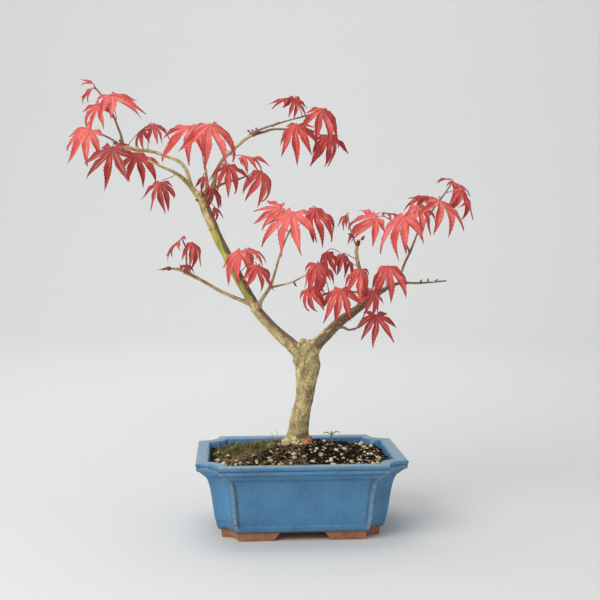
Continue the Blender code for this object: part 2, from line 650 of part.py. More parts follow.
def root_socket(parent):
    """Helpers that keep the soil clear of the buried wood and the seedling's stem."""
    socket = new_helper_collection("socket")
    for name in WOOD:
        if name == "trunk" or name.startswith("root_"):
            bm = bmesh.new()
            sides, path = wood_path(name)
            tube(bm, path, sides, FIT_GAP)
            add_helper("socket_" + name, bm, parent, socket)
    bm = bmesh.new()
    tube(bm, seedling_stem(), 6, FIT_GAP)
    add_helper("socket_seedling", bm, parent, socket)
    return socket


# ---------------------------------------------------------------- leaves

def branch_point(name, share):
    """Centre, direction and radius at a place along a branch."""
    points = wood_points(name)
    place = share * (len(points) - 1)
    i = min(int(place), len(points) - 2)
    t = place - i
    a = Vector(points[i][:3])
    b = Vector(points[i + 1][:3])
    radius = points[i][3] * (1 - t) + points[i + 1][3] * t
    return a.lerp(b, t), (b - a).normalized(), radius


def petiole_start(branch, share, knuckle):
    """Just off the branch's skin, on the side that faces the leaf."""
    centre, along, radius = branch_point(branch, share)
    toward = (knuckle - centre).normalized()
    if share >= 1.0:
        slope = math.sqrt(max(0.0, 1.0 - toward.dot(along) ** 2))
        return centre + toward * (radius * slope + FIT_GAP + PETIOLE_STANDOFF)
    outward = (toward - along * toward.dot(along)).normalized()
    return centre + outward * (radius + FIT_GAP + PETIOLE_STANDOFF)


def leaf_frame(heading, pitch, bank):
    """Axes of a blade: along the middle lobe, across it, and out of its upper side."""
    turn = Matrix.Rotation(math.radians(heading), 3, "Z") @ Matrix.Rotation(math.radians(pitch), 3, "Y")
    turn = turn @ Matrix.Rotation(math.radians(bank), 3, "X")
    return turn @ Vector((1, 0, 0)), turn @ Vector((0, 1, 0)), turn @ Vector((0, 0, 1))


def lobe_point(frame, angle, length, droop, share):
    """A point along a lobe whose fold steepens from the knuckle to the tip."""
    along, across, up = frame
    heading = along * math.cos(math.radians(angle)) + across * math.sin(math.radians(angle))
    point = Vector((0, 0, 0))
    steps = 4
    for i in range(steps):
        middle = share * (i + 0.5) / steps
        fold = math.radians(droop * (0.6 + 1.4 * middle))
        point = point + (heading * math.cos(fold) - up * math.sin(fold)) * (length * share / steps)
    return point


def leaf_fan(lobes):
    """(angle, share of the full length) of every lobe, from one side to the other."""
    half = LOBES[lobes]
    return [(-angle, share) for angle, share in reversed(half[1:])] + half


def leaf_rim(bm, frame, droop, length, fan):
    """The blade's edge: two waist points and a tip for each lobe, and the cuts between."""
    along, across, up = frame
    half_gap = math.radians(min(b[0] - a[0] for a, b in zip(fan, fan[1:])) / 2)
    rim = []
    for k, (angle, share) in enumerate(fan):
        if k > 0:
            between = (angle + fan[k - 1][0]) / 2
            reach = min(SINUS_REACH, SINUS_SHARE * min(share, fan[k - 1][1]))
            rim.append(bm.verts.new(lobe_point(frame, between, length, droop, reach)))
        radial = along * math.cos(math.radians(angle)) + across * math.sin(math.radians(angle))
        waist = lobe_point(frame, angle, length * share, droop, LOBE_WAIST)
        room = waist.dot(radial) * math.sin(half_gap) * LOBE_ROOM
        half = up.cross(radial) * min(length * LOBE_WIDTH * (0.55 + 0.45 * share), room)
        tip = lobe_point(frame, angle, length * share, droop, 1.0)
        rim += [bm.verts.new(waist - half), bm.verts.new(tip), bm.verts.new(waist + half)]
    return rim


def leaf_bmesh(start, frame, droop, length, lobes):
    """A single-layer sheet: lobes fanned round the knuckle at the origin, and a petiole."""
    bm = bmesh.new()
    along, across, up = frame
    fan = leaf_fan(lobes)
    rim = leaf_rim(bm, frame, droop, length, fan)
    reach = start.length
    under = max(0.0, start.normalized().dot(along) + PETIOLE_SWEEP)
    bend = start * 0.5 - along * (PETIOLE_SWEEP * under * reach) + Vector((0, 0, PETIOLE_RISE * reach))
    back = bend.normalized()
    width = back.cross(up)
    if width.length < 0.2:
        width = back.cross(along)
    width = width.normalized() * (PETIOLE_WIDTH / 2)
    if width.dot(across) < 0:
        width = -width
    knuckle = bm.verts.new((0, 0, 0))
    right = bm.verts.new(back * PETIOLE_NECK - width)
    left = bm.verts.new(back * PETIOLE_NECK + width)
    ring = [right] + rim + [left]
    for k in range(len(fan)):
        low, tip, high = ring[1 + 4 * k:4 + 4 * k]
        bm.faces.new((knuckle, ring[4 * k], low))
        bm.faces.new((knuckle, low, high))
        bm.faces.new((low, tip, high))
        bm.faces.new((knuckle, high, ring[4 * k + 4]))
    bm.faces.new((knuckle, left, right))
    for place in (bend, start):
        next_left = bm.verts.new(place + width)
        next_right = bm.verts.new(place - width)
        bm.faces.new((left, next_left, next_right, right))
        left, right = next_left, next_right
    return bm


def build_leaves(parent):
    """One object for each leaf, with its origin at the knuckle where the lobes meet."""
    red = make_material("red_leaf", (0.55, 0.06, 0.045), 0.5)
    for number, row in enumerate(LEAVES, start=1):
        branch, share, place, heading, pitch, bank, droop, length, lobes = row
        knuckle = Vector(place) + tree_shift()
        start = petiole_start(branch, share, knuckle) - knuckle
        bm = leaf_bmesh(start, leaf_frame(heading, pitch, bank), droop, length, lobes)
        leaf = add_object(f"leaf_{number:02d}", bm, red, parent, knuckle)
        solidify = leaf.modifiers.new("Thickness", "SOLIDIFY")
        solidify.thickness = LEAF_THICKNESS * MM
        solidify.offset = 0.0


# ---------------------------------------------------------------- whole object

def centre_on_origin(root):
    """Move everything so the whole object's box stands centred on the origin."""
    bpy.context.view_layer.update()
    depsgraph = bpy.context.evaluated_depsgraph_get()
    corners = []
    for obj in bpy.context.scene.objects:
        if obj.type == "MESH" and not obj.hide_render:
            shaped = obj.evaluated_get(depsgraph)
            corners += [obj.matrix_world @ Vector(corner) for corner in shaped.bound_box]
    low = [min(corner[axis] for corner in corners) for axis in range(3)]
    high = [max(corner[axis] for corner in corners) for axis in range(3)]
    root.location = (-(low[0] + high[0]) / 2, -(low[1] + high[1]) / 2, -low[2])


def main():
    clear_scene()
    root = bpy.data.objects.new("bonsai", None)
    bpy.context.scene.collection.objects.link(root)
    build_pot(root)
    build_screens(root)
    build_soil(root, root_socket(root))
    build_moss(root)
    build_seedling(root)
    build_wood(root)
    build_leaves(root)
    centre_on_origin(root)


main()
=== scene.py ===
"""Looks of the potted maple bonsai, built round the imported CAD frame.

Points in the tables are millimetres from the middle of the pot's footprint, as in the
part's own source: X along the pot's long side, Y from front to back, Z up.
"""
import math
import random

import bmesh
import bpy
from mathutils import Matrix, Vector, kdtree, noise


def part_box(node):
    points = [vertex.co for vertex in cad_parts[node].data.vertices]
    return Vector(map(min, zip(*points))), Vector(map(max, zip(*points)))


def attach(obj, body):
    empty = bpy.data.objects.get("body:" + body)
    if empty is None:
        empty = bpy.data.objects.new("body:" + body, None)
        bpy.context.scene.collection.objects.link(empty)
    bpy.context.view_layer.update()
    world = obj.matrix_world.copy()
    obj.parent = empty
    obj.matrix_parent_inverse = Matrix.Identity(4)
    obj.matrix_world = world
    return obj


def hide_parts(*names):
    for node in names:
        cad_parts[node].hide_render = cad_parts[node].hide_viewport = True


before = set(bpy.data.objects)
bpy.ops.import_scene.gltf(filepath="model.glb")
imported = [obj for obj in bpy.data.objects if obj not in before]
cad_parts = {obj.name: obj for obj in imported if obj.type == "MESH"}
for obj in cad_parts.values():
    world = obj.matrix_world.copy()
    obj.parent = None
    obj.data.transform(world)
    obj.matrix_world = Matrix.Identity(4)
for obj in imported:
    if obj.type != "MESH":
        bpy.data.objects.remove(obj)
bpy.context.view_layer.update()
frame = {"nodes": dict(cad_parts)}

MM = 0.001
SEED = 7
POT_LOW, POT_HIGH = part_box("pot")
ORIGIN = Vector(((POT_LOW.x + POT_HIGH.x) / 2, (POT_LOW.y + POT_HIGH.y) / 2, POT_LOW.z))

# Camera, in millimetres and degrees, in a frame turned with it about the pot's middle
CAMERA_DISTANCE = 952.9
CAMERA_HEIGHT = 293.0
CAMERA_SIDE = 0.7
CAMERA_TURN = 4.53            # how far right of the view line the pot's front faces
CAMERA_PITCH = 3.45
CAMERA_ROLL = 0.2
FOCAL_LENGTH = 55.76
SENSOR_WIDTH = 36.0
# Floor, in metres from the middle: where it starts to curve up, and the curve's radius
FLOOR_FLAT = 1.9
FLOOR_CURVE = 1.7
FLOOR_TOP_EDGE = 2.6

# Pot
POT_WIDTH = 210.0
POT_DEPTH = 150.0
POT_HEIGHT = 80.0
NOTCH = 22.0
FOOT_NOTCH = 16.0
NOTCH_POWER = 2.15
NOTCH_STEPS = 12
FOOT_TOP = 9.0
PANEL_DEPTH = 1.5
BEAD_WIDTH = 4.2              # rounded bead along each end of a panel
BEAD_RISE = 0.5
FOOT_INSET = 25.5
FOOT_WIDTH = 15.0
FOOT_GAP_LONG = 44.0
FOOT_GAP_SHORT = 26.0
FOOT_GAP_FLARE = 7.0
DRAIN_RADIUS = 9.0
DRAIN_PLACE = 46.0
FLOOR_TOP = 16.0
CUTTER_DROP = 2.0             # how far the cutters reach below the pot
INNER_NOTCH = 0.8             # depth of the inside's notches, as a share of the outside's
RIM_WIDTH = 12.3

# (height, inset, share of the panel's depth) up the outside of the pot
OUTER_PROFILE = [
    (0.0, 26.6, 0), (0.25, 26.0, 0), (0.9, 25.6, 0), (4.5, 25.2, 0), (8.6, 24.8, 0),
    (8.9, 23.6, 0), (9.2, 22.8, 0), (9.8, 22.2, 0), (10.6, 21.9, 0), (12.0, 21.4, 0),
    (14.0, 20.7, 0), (15.4, 20.35, 0), (16.2, 20.35, 0.15), (16.9, 20.3, 0.6), (17.6, 20.0, 0.9),
    (18.6, 19.6, 1), (21.0, 19.0, 1), (25.0, 18.3, 1), (30.0, 17.6, 1), (35.0, 16.9, 1),
    (40.0, 16.2, 1), (45.0, 15.5, 1), (50.0, 14.6, 1), (54.0, 13.8, 1), (58.0, 12.7, 1),
    (60.5, 11.8, 1), (62.2, 11.1, 0.95), (63.2, 10.6, 0.7), (64.0, 9.9, 0.3), (65.0, 8.8, 0.05),
    (66.5, 7.3, 0), (68.0, 5.9, 0), (69.3, 4.7, 0), (70.2, 3.9, 0), (70.7, 3.0, 0),
    (71.1, 2.1, 0), (71.7, 1.4, 0), (72.6, 0.9, 0), (73.8, 0.65, 0), (75.0, 0.7, 0),
    (75.5, 1.0, 0), (75.8, 0.95, 0), (76.2, 0.4, 0), (76.8, 0.1, 0), (77.8, 0.0, 0),
    (78.7, 0.15, 0), (79.4, 0.6, 0), (79.85, 1.3, 0), (80.0, 2.4, 0),
]
# (height, inset) over the rim and down the inside
INNER_PROFILE = [
    (79.95, 4.5), (79.85, 7.0), (79.7, 9.5), (79.4, 11.2), (78.8, 12.1), (77.8, 12.6),
    (75.5, 13.1), (73.0, 13.7), (70.0, 14.5), (66.0, 15.6), (60.5, 17.0), (50.0, 19.6),
    (34.0, 23.8), (20.0, 27.4), (FLOOR_TOP, 29.5),
]

# Soil
SOIL_EDGE = 72.0
SOIL_MOUND = 12.0
SOIL_INSET = 13.9
TRUNK_BASE = (0.0, 19.0)
MOSS_CENTRE = (-54.0, 14.0)
MOSS_RADII = (30.0, 22.0)
SEEDLING_PLACE = (38.0, 34.0)
SEEDLING_HEIGHT = 9.0
PUMICE_COUNT = 250
AKADAMA_COUNT = 420
CRUMB_COUNT = 900
TUFT_COUNT = 1700
STRAW_COUNT = 560

# Wood: name -> [(x, y, z, radius), ...], from the base to the tip
WOOD = {
    "trunk": [(0, 19, 58, 8.0), (0, 19, 70, 13.5), (0, 19, 80, 14.5), (0, 19, 87, 13.2),
        (1, 18, 97, 11.0), (4, 16, 118, 9.6), (7, 15, 131, 9.2), (8, 12, 144, 10.2),
        (9, 10, 158, 12.0), (10, 9, 169, 13.0), (9, 8, 181, 10.5), (7, 8, 189, 5.5)],
    "limb_left": [(6, 9, 168, 9.0), (-2, 10, 183, 7.4), (-22, 16, 201, 5.9), (-40, 21, 220, 5.4),
        (-49, 24, 235, 5.3), (-61, 28, 256, 5.3), (-72, 31, 277, 5.2), (-83, 34, 298, 5.2),
        (-92, 36, 319, 5.3), (-98, 38, 334, 5.2), (-100, 38, 344, 3.6)],
    "limb_right": [(10, 8, 170, 9.0), (17, 7, 187, 7.0), (30, 3, 201, 5.8), (42, 0, 213, 5.2),
        (54, -2, 222, 4.6), (69, -2, 233, 3.7), (83, -1, 243, 2.6), (95, 1, 250, 2.0),
        (108, 3, 253, 1.5), (126, 2, 253, 1.1), (150, 1, 255, 0.8)],
    "root_left": [(-4, 18, 88, 6.5), (-13, 17, 83, 5.0), (-21, 16, 76, 3.6), (-28, 14, 66, 2.4)],
    "root_front": [(3, 13, 88, 5.5), (8, 5, 82, 4.2), (13, -3, 74, 2.8), (17, -9, 64, 2.0)],
    "root_right": [(5, 19, 88, 6.0), (14, 20, 82, 4.2), (22, 20, 74, 2.8), (29, 20, 64, 2.0)],
    "root_back": [(0, 24, 88, 6.0), (-3, 33, 82, 4.0), (-5, 42, 74, 2.6), (-6, 50, 64, 2.0)],
    "top_left": [(-99, 38, 338, 4.0), (-107, 36, 347, 3.0), (-115, 31, 356, 2.4),
        (-124, 25, 364, 1.9), (-134, 20, 369, 1.5), (-146, 17, 374, 1.2), (-154, 15, 379, 0.9)],
    "upper_left": [(-112, 34, 353, 2.2), (-116, 38, 369, 2.0), (-124, 43, 379, 1.9),
        (-138, 46, 385, 1.8), (-154, 48, 390, 1.8), (-171, 51, 392, 1.9), (-184, 52, 396, 3.0),
        (-189, 52.5, 398, 1.6)],
    "tip_shoot": [(-184, 52, 396, 1.8), (-185, 51, 405, 1.3), (-189, 49, 417, 1.1),
        (-195, 47, 432, 1.0), (-201, 44, 443, 0.9), (-211, 42, 455, 0.8)],
    "tip_side": [(-186, 52, 396, 1.6), (-194, 57, 402, 1.1), (-207, 62, 409, 0.9),
        (-217, 64, 413, 0.8)],
    "top_right": [(-99, 38, 336, 4.2), (-93, 37, 345, 3.2), (-88, 39, 355, 2.6),
        (-85, 42, 369, 2.2), (-78, 45, 382, 2.0), (-67, 48, 393, 1.8), (-56, 50, 403, 1.8),
        (-45, 49, 411, 2.2)],
    "top_right_up": [(-47, 49, 410, 1.8), (-36, 44, 415, 1.2), (-26, 39, 418, 1.0),
        (-18, 37, 421, 0.8)],
    "top_right_low": [(-47, 49, 409, 1.8), (-35, 50, 412, 1.4), (-25, 50, 415, 1.3),
        (-8, 48, 415, 1.1), (13, 43, 414, 1.0), (26, 39, 408, 0.8)],
    "petiole_arc": [(-27, 39, 417, 1.0), (-12, 36, 422, 0.8), (4, 32, 426, 0.8),
        (15, 29, 429, 0.8)],
    "stub_up": [(-95, 38, 344, 2.6), (-95, 33, 357, 1.8), (-96, 28, 368, 1.4),
        (-98, 25, 377, 1.0)],
    "side_twig": [(-89, 38, 351, 1.8), (-76, 41, 357, 1.2), (-63, 44, 361, 1.0),
        (-52, 46, 365, 0.8)],
    "low_left": [(-47, 24, 230, 2.8), (-62, 26, 235, 2.1), (-80, 27, 243, 1.9),
        (-101, 25, 255, 1.8), (-114, 21, 262, 2.0), (-122, 19, 266, 2.0), (-130, 17, 267, 1.0)],
    "low_left_up": [(-115, 21, 262, 1.4), (-116, 20, 275, 0.9), (-116, 19, 287, 0.9),
        (-119, 18, 295, 0.7)],
    "middle": [(-42, 22, 225, 2.8), (-38, 17, 235, 2.0), (-30, 9, 248, 1.7), (-25, 3, 264, 1.3),
        (-21, -1, 279, 1.2), (-16, -4, 294, 1.1), (-9, -5, 309, 0.9)],
    "middle_side": [(-30, 9, 248, 1.3), (-15, 12, 251, 0.9), (-5, 14, 254, 0.9),
        (9, 18, 261, 0.6)],
    "right_low": [(35, 1, 206, 2.0), (44, -9, 208, 1.3), (50, -15, 206, 1.1), (60, -22, 210, 0.9),
        (68, -26, 217, 0.8)],
    "right_mid_up": [(65, -2, 229, 2.6), (65, -6, 246, 2.2), (65, -8, 259, 2.1),
        (60, -10, 270, 2.0), (57, -12, 284, 1.9), (58, -12, 291, 1.4)],
    "right_mid_stem": [(58, -12, 288, 1.0), (54, -12, 299, 0.7), (50, -13, 310, 0.7),
        (48, -14, 320, 0.7)],
    "right_up": [(105, 3, 253, 1.5), (107, 5, 264, 1.3), (111, 8, 274, 1.3), (117, 12, 285, 1.3),
        (122, 13, 297, 1.1), (126, 15, 306, 1.0), (133, 16, 317, 1.0)],
    "right_up_fork": [(117, 12, 284, 1.1), (112, 9, 294, 1.0), (109, 6, 304, 1.2),
        (109, 4, 311, 0.9)],
    "right_top": [(133, 16, 316, 1.0), (141, 18, 328, 0.9), (150, 19, 340, 0.9),
        (156, 20, 348, 0.8), (162, 20, 357, 0.7)],
    "right_back": [(88, 0, 246, 1.8), (73, -13, 243, 1.3), (50, -17, 245, 1.1),
        (34, -18, 245, 1.0), (25, -19, 243, 0.8)],
}
# Grown together with the trunk into one skin; the thinner ones are tubes rooted in it
THICK = {"trunk", "limb_left", "limb_right", "root_left", "root_front", "root_right", "root_back",
         "top_left", "upper_left", "top_right", "low_left", "middle", "right_mid_up"}
THICK_FROM = 1.55             # thinner than this, a limb carries on as a tube
SKIN_VOXEL = 0.62
YOUNG = {"tip_shoot", "tip_side", "top_right_up", "top_right_low", "petiole_arc", "right_mid_stem",
         "low_left_up", "right_top", "right_back", "right_up", "right_up_fork", "side_twig"}

# Maple leaves
LOBES = {
    3: [(0, 1.0), (30, 0.8)],
    5: [(0, 1.0), (36, 0.93), (76, 0.66)],
    7: [(0, 1.0), (33, 0.95), (68, 0.8), (108, 0.42)],
}
LOBE_WIDTH = 0.096            # half width of a lobe, as a share of the leaf's length
SINUS = 0.24                  # how far out the cuts between lobes end
BLADE_THICKNESS = 0.25
TEETH = 9
SMALL_LEAF = 20.0             # a leaf longer than this has seven lobes
PETIOLE_RADIUS = 0.42

# (branch, place along it, knuckle, heading, pitch, bank, droop, length, lobes)
# heading turns about Z from +X, pitch tips the middle lobe down, bank rolls the blade
# about its middle lobe, droop folds the lobes down; all are in degrees.
LEAVES = [
    ("tip_shoot", 1.0, (-212, 38, 458), 180, -20, -30, 10, 16, 3),
    ("tip_shoot", 0.97, (-213, 38, 453), 190, 42, -30, 10, 19, 3),
    ("tip_shoot", 0.45, (-193, 34, 446), 322, 26, 20, 15, 42, 5),
    ("tip_shoot", 0.5, (-205, 32, 436), 222, 52, -15, 18, 31, 5),
    ("tip_side", 1.0, (-217, 56, 412), 200, 38, -38, 14, 44, 5),
    ("upper_left", 1.0, (-192, 28, 391), 250, 60, 0, 16, 47, 7),
    ("upper_left", 0.8, (-163, 64, 415), 201, 38, -20, 28, 26, 5),
    ("upper_left", 0.75, (-166, 43, 388), 280, 36, 0, 42, 40, 5),
    ("upper_left", 0.6, (-151, 56, 419), 325, 35, 20, 28, 24, 5),
    ("stub_up", 1.0, (-108, 12, 413), 215, 22, -15, 24, 52, 7),
    ("stub_up", 0.97, (-90, -12, 411), 300, 36, 8, 24, 52, 7),
    ("top_right", 0.66, (-82, 62, 412), 345, 10, 0, 15, 15, 3),
    ("stub_up", 0.6, (-98, 12, 362), 263, 75, 0, 15, 18, 3),
    ("top_left", 0.55, (-141, 10, 355), 255, 42, 0, 36, 34, 7),
    ("top_right", 0.2, (-88, 24, 350), 313, 40, 0, 35, 24, 5),
    ("limb_left", 0.88, (-87, 14, 331), 318, 50, 0, 18, 19, 3),
    ("top_right", 0.5, (-72, 27, 375), 262, 40, 0, 40, 35, 5),
    ("top_right", 0.65, (-56, 43, 386), 335, -5, 10, 34, 32, 5),
    ("side_twig", 1.0, (-38, 37, 369), 304, 42, 0, 40, 40, 7),
    ("petiole_arc", 0.7, (-7, 29, 445), 180, 0, 0, 15, 27, 5),
    ("petiole_arc", 0.8, (-3, 22, 443), 295, 70, 0, 12, 24, 3),
    ("top_right_low", 0.65, (-1, 26, 417), 250, 46, 0, 28, 42, 7),
    ("petiole_arc", 1.0, (25, 15, 432), 292, 40, 0, 32, 43, 7),
    ("top_right_low", 1.0, (33, 34, 407), 278, 45, 0, 44, 41, 5),
    ("middle", 1.0, (-9, -22, 324), 228, 40, -6, 22, 51, 7),
    ("middle", 0.95, (-18, 7, 329), 188, 12, -40, 12, 35, 5),
    ("middle", 0.98, (16, -2, 330), 276, 32, 0, 48, 43, 7),
    ("right_up_fork", 1.0, (80, 6, 321), 186, 14, -38, 22, 44, 5),
    ("right_mid_stem", 1.0, (48, 0, 323), 225, 40, 0, 20, 19, 3),
    ("low_left_up", 1.0, (-121, 15, 298), 185, 42, 0, 8, 28, 3),
    ("low_left_up", 0.8, (-109, 13, 294), 310, 30, 0, 44, 29, 5),
    ("low_left", 0.75, (-115, 13, 271), 295, 30, 0, 25, 13, 5),
    ("low_left", 1.0, (-132, 13, 267), 175, 0, 0, 8, 13, 3),
    ("limb_left", 0.6, (-62, 6, 286), 222, 36, -8, 36, 40, 7),
    ("limb_left", 0.58, (-51, 22, 288), 330, 14, 15, 36, 26, 5),
    ("limb_left", 0.52, (-43, -3, 271), 295, 44, 0, 34, 32, 5),
    ("right_mid_up", 0.6, (30, 14, 285), 240, 30, 0, 48, 32, 5),
    ("right_back", 0.9, (16, -30, 273.5), 277, 36, 0, 44, 38, 7),
    ("right_mid_up", 0.72, (43, -17, 283), 292, 30, 0, 48, 30, 5),
    ("right_back", 1.0, (11, -18, 249), 235, 42, 0, 34, 32, 5),
    ("right_back", 0.7, (38, -33, 248), 255, 46, 0, 32, 38, 7),
    ("right_back", 0.4, (57, -40, 268), 262, 34, 0, 46, 34, 5),
    ("limb_right", 0.66, (89, -22, 271), 268, 24, 0, 42, 43, 7),
    ("limb_right", 0.45, (70, -33, 247), 305, 44, 0, 32, 32, 5),
    ("right_low", 1.0, (74, -32, 222), 270, 52, 0, 10, 34, 7),
    ("right_up_fork", 0.97, (103, -26, 321), 222, 32, -8, 26, 47, 7),
    ("right_up", 0.95, (122, -6, 332), 285, 40, 0, 34, 37, 7),
    ("right_up_fork", 0.94, (92, 19, 326), 345, 0, 0, 18, 22, 5),
    ("right_top", 0.45, (140, 19, 343), 190, -12, 0, 24, 36, 5),
    ("right_top", 0.5, (143, -8, 338), 308, 30, 0, 24, 46, 7),
    ("right_top", 1.0, (162, 18, 361), 180, -12, 0, 10, 20, 3),
    ("right_top", 0.75, (171, 11, 350), 303, 40, 0, 44, 35, 5),
    ("right_top", 0.97, (169, 37, 360), 336, 20, 10, 24, 27, 5),
]
# Pale coral leaves and dark ones; the others lie between
PALE_LEAVES = {3, 4, 5, 10, 11, 18, 19, 25, 26, 28, 34, 35, 46, 47, 50}
DARK_LEAVES = {12, 13, 16, 6, 14, 15, 29, 32, 33, 39, 48, 45}

# Folded buds at tips and nodes: (x, y, z, heading, lift, length, radius)
BUDS = [
    (58, -12, 291, 300, 70, 8.0, 2.3), (54, -13, 300, 160, 35, 7.5, 1.9),
    (62, -13, 297, 20, 55, 6.0, 1.6), (-131, 17, 267, 175, 5, 8.0, 2.4),
    (-121, 18, 268, 100, 70, 4.0, 1.6), (-116, 20, 266, 250, 40, 3.5, 1.4),
    (150, 1, 255, 5, 5, 4.5, 0.9), (134, 2, 254, 60, 60, 4.8, 0.9),
    (126, 2, 253.5, 300, 50, 4.6, 0.9), (141, 1, 254, 15, 40, 5.5, 0.9),
    (109, 4, 311, 60, 70, 4.5, 1.4), (110, 5, 306, 150, 40, 4.0, 1.2),
    (-45, 49, 411, 170, 50, 5.0, 1.5), (-48, 49, 408, 200, 60, 4.5, 1.4),
    (-42, 49, 413, 110, 60, 5.0, 1.3), (-50, 49, 412, 150, 40, 3.5, 1.2),
    (-190, 52, 398, 190, 20, 4.5, 1.9), (-186, 52, 400, 120, 60, 3.8, 1.4),
    (-183, 52, 393, 240, -40, 3.8, 1.4), (-99, 37, 344, 200, 60, 4.0, 1.5),
    (-93, 37, 345, 20, 55, 4.0, 1.4), (-104, 34, 338, 215, 20, 3.6, 1.4),
    (9, 18, 261, 20, 20, 4.0, 1.1), (-5, 14, 254, 20, -60, 7.0, 1.1),
    (25, -19, 243, 200, -30, 4.0, 1.2), (68, -26, 217, 40, 50, 3.2, 0.9),
]


# ------------------------------------------------------------------ shared tools

def smooth(t):
    """0 to 1 with a soft start and end, for t from 0 to 1."""
    t = min(max(t, 0.0), 1.0)
    return t * t * (3.0 - 2.0 * t)


def mix(a, b, t):
    """From a at t = 0 to b at t = 1."""
    return a + (b - a) * t


def bell(value, middle, width):
    """A bell curve, 1 at its middle."""
    return math.exp(-((value - middle) / width) ** 2)


def turns(count):
    """Even angles once round a circle."""
    return [math.tau * k / count for k in range(count)]


def link_object(name, data):
    """A new object in the scene."""
    obj = bpy.data.objects.new(name, data)
    bpy.context.scene.collection.objects.link(obj)
    return obj


def finish_mesh(bm, sharp=None):
    """A mesh in metres, in the row frame, from a bmesh in the tables' millimetres."""
    for vert in bm.verts:
        vert.co = ORIGIN + vert.co * MM
    mesh = bpy.data.meshes.new("piece")
    bm.to_mesh(mesh)
    bm.free()
    mesh.shade_smooth()
    if sharp is not None:
        mesh.set_sharp_from_angle(angle=math.radians(sharp))
    return mesh


def add_piece(name, mesh, material, nodes=()):
    """Put a piece in the scene, in place of the named CAD nodes."""
    mesh.name = name
    obj = link_object(name, mesh)
    mesh.materials.clear()
    mesh.materials.append(material)
    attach(obj, "root")
    if nodes:
        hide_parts(*nodes)


def baked(mesh, *modifiers):
    """The mesh after (type, {setting: value}) modifiers."""
    obj = link_object("work", mesh)
    for number, (kind, settings) in enumerate(modifiers):
        modifier = obj.modifiers.new(f"step{number}", kind)
        for key, value in settings.items():
            setattr(modifier, key, value)
    depsgraph = bpy.context.evaluated_depsgraph_get()
    result = bpy.data.meshes.new_from_object(obj.evaluated_get(depsgraph))
    bpy.data.objects.remove(obj)
    return result


def set_attribute(mesh, name, kind, values):
    """Store one vector or colour for each vertex."""
    attribute = mesh.attributes.new(name, kind, "POINT")
    key = "vector" if kind == "FLOAT_VECTOR" else "color"
    attribute.data.foreach_set(key, [x for row in values for x in row])


def skin_open(bm, loops):
    """Skin closed loops of equal length and leave both ends open."""
    rings = [[bm.verts.new(point) for point in loop] for loop in loops]
    for low, high in zip(rings, rings[1:]):
        for i, corner in enumerate(low):
            j = (i + 1) % len(low)
            bm.faces.new((corner, low[j], high[j], high[i]))
    return rings


def skin(bm, loops):
    """Skin closed loops of equal length and close both ends."""
    rings = skin_open(bm, loops)
    bm.faces.new(reversed(rings[0]))
    bm.faces.new(rings[-1])


def curve_through(points, steps):
    """Rows on a Catmull-Rom curve through the given rows."""
    rows = [Vector(point) for point in points]
    rows = [rows[0] * 2 - rows[1]] + rows + [rows[-1] * 2 - rows[-2]]
    curve = []
    for a, b, c, d in zip(rows, rows[1:], rows[2:], rows[3:]):
        for step in range(steps):
            t = step / steps
            curve.append(0.5 * (2 * b + (c - a) * t + (2 * a - 5 * b + 4 * c - d) * t * t
                                + (3 * b - 3 * c + d - a) * t ** 3))
    curve.append(rows[-2])
    return curve


def path_frames(points):
    """(centre, radius, along, tangent, side, other) at each (x, y, z, radius)."""
    centres = [Vector(point[:3]) for point in points]
    frames = []
    along = 0.0
    side = None
    for i, centre in enumerate(centres):
        ahead = centres[min(i + 1, len(centres) - 1)]
        behind = centres[max(i - 1, 0)]
        tangent = (ahead - behind).normalized()
        if side is None:
            side = tangent.orthogonal().normalized()
        side = (side - tangent * side.dot(tangent)).normalized()
        if i:
            along += (centre - centres[i - 1]).length
        frames.append((centre, points[i][3], along, tangent, side, tangent.cross(side)))
    return frames


def tube(bm, frames, sides, shape=None):
    """A closed tube; shape(along) scales its radius."""
    loops = []
    for centre, radius, along, _, side, other in frames:
        reach = radius * (shape(along) if shape else 1.0)
        loops.append([centre + (side * math.cos(angle) + other * math.sin(angle)) * reach
                      for angle in turns(sides)])
    skin(bm, loops)


# ------------------------------------------------------------------ node materials

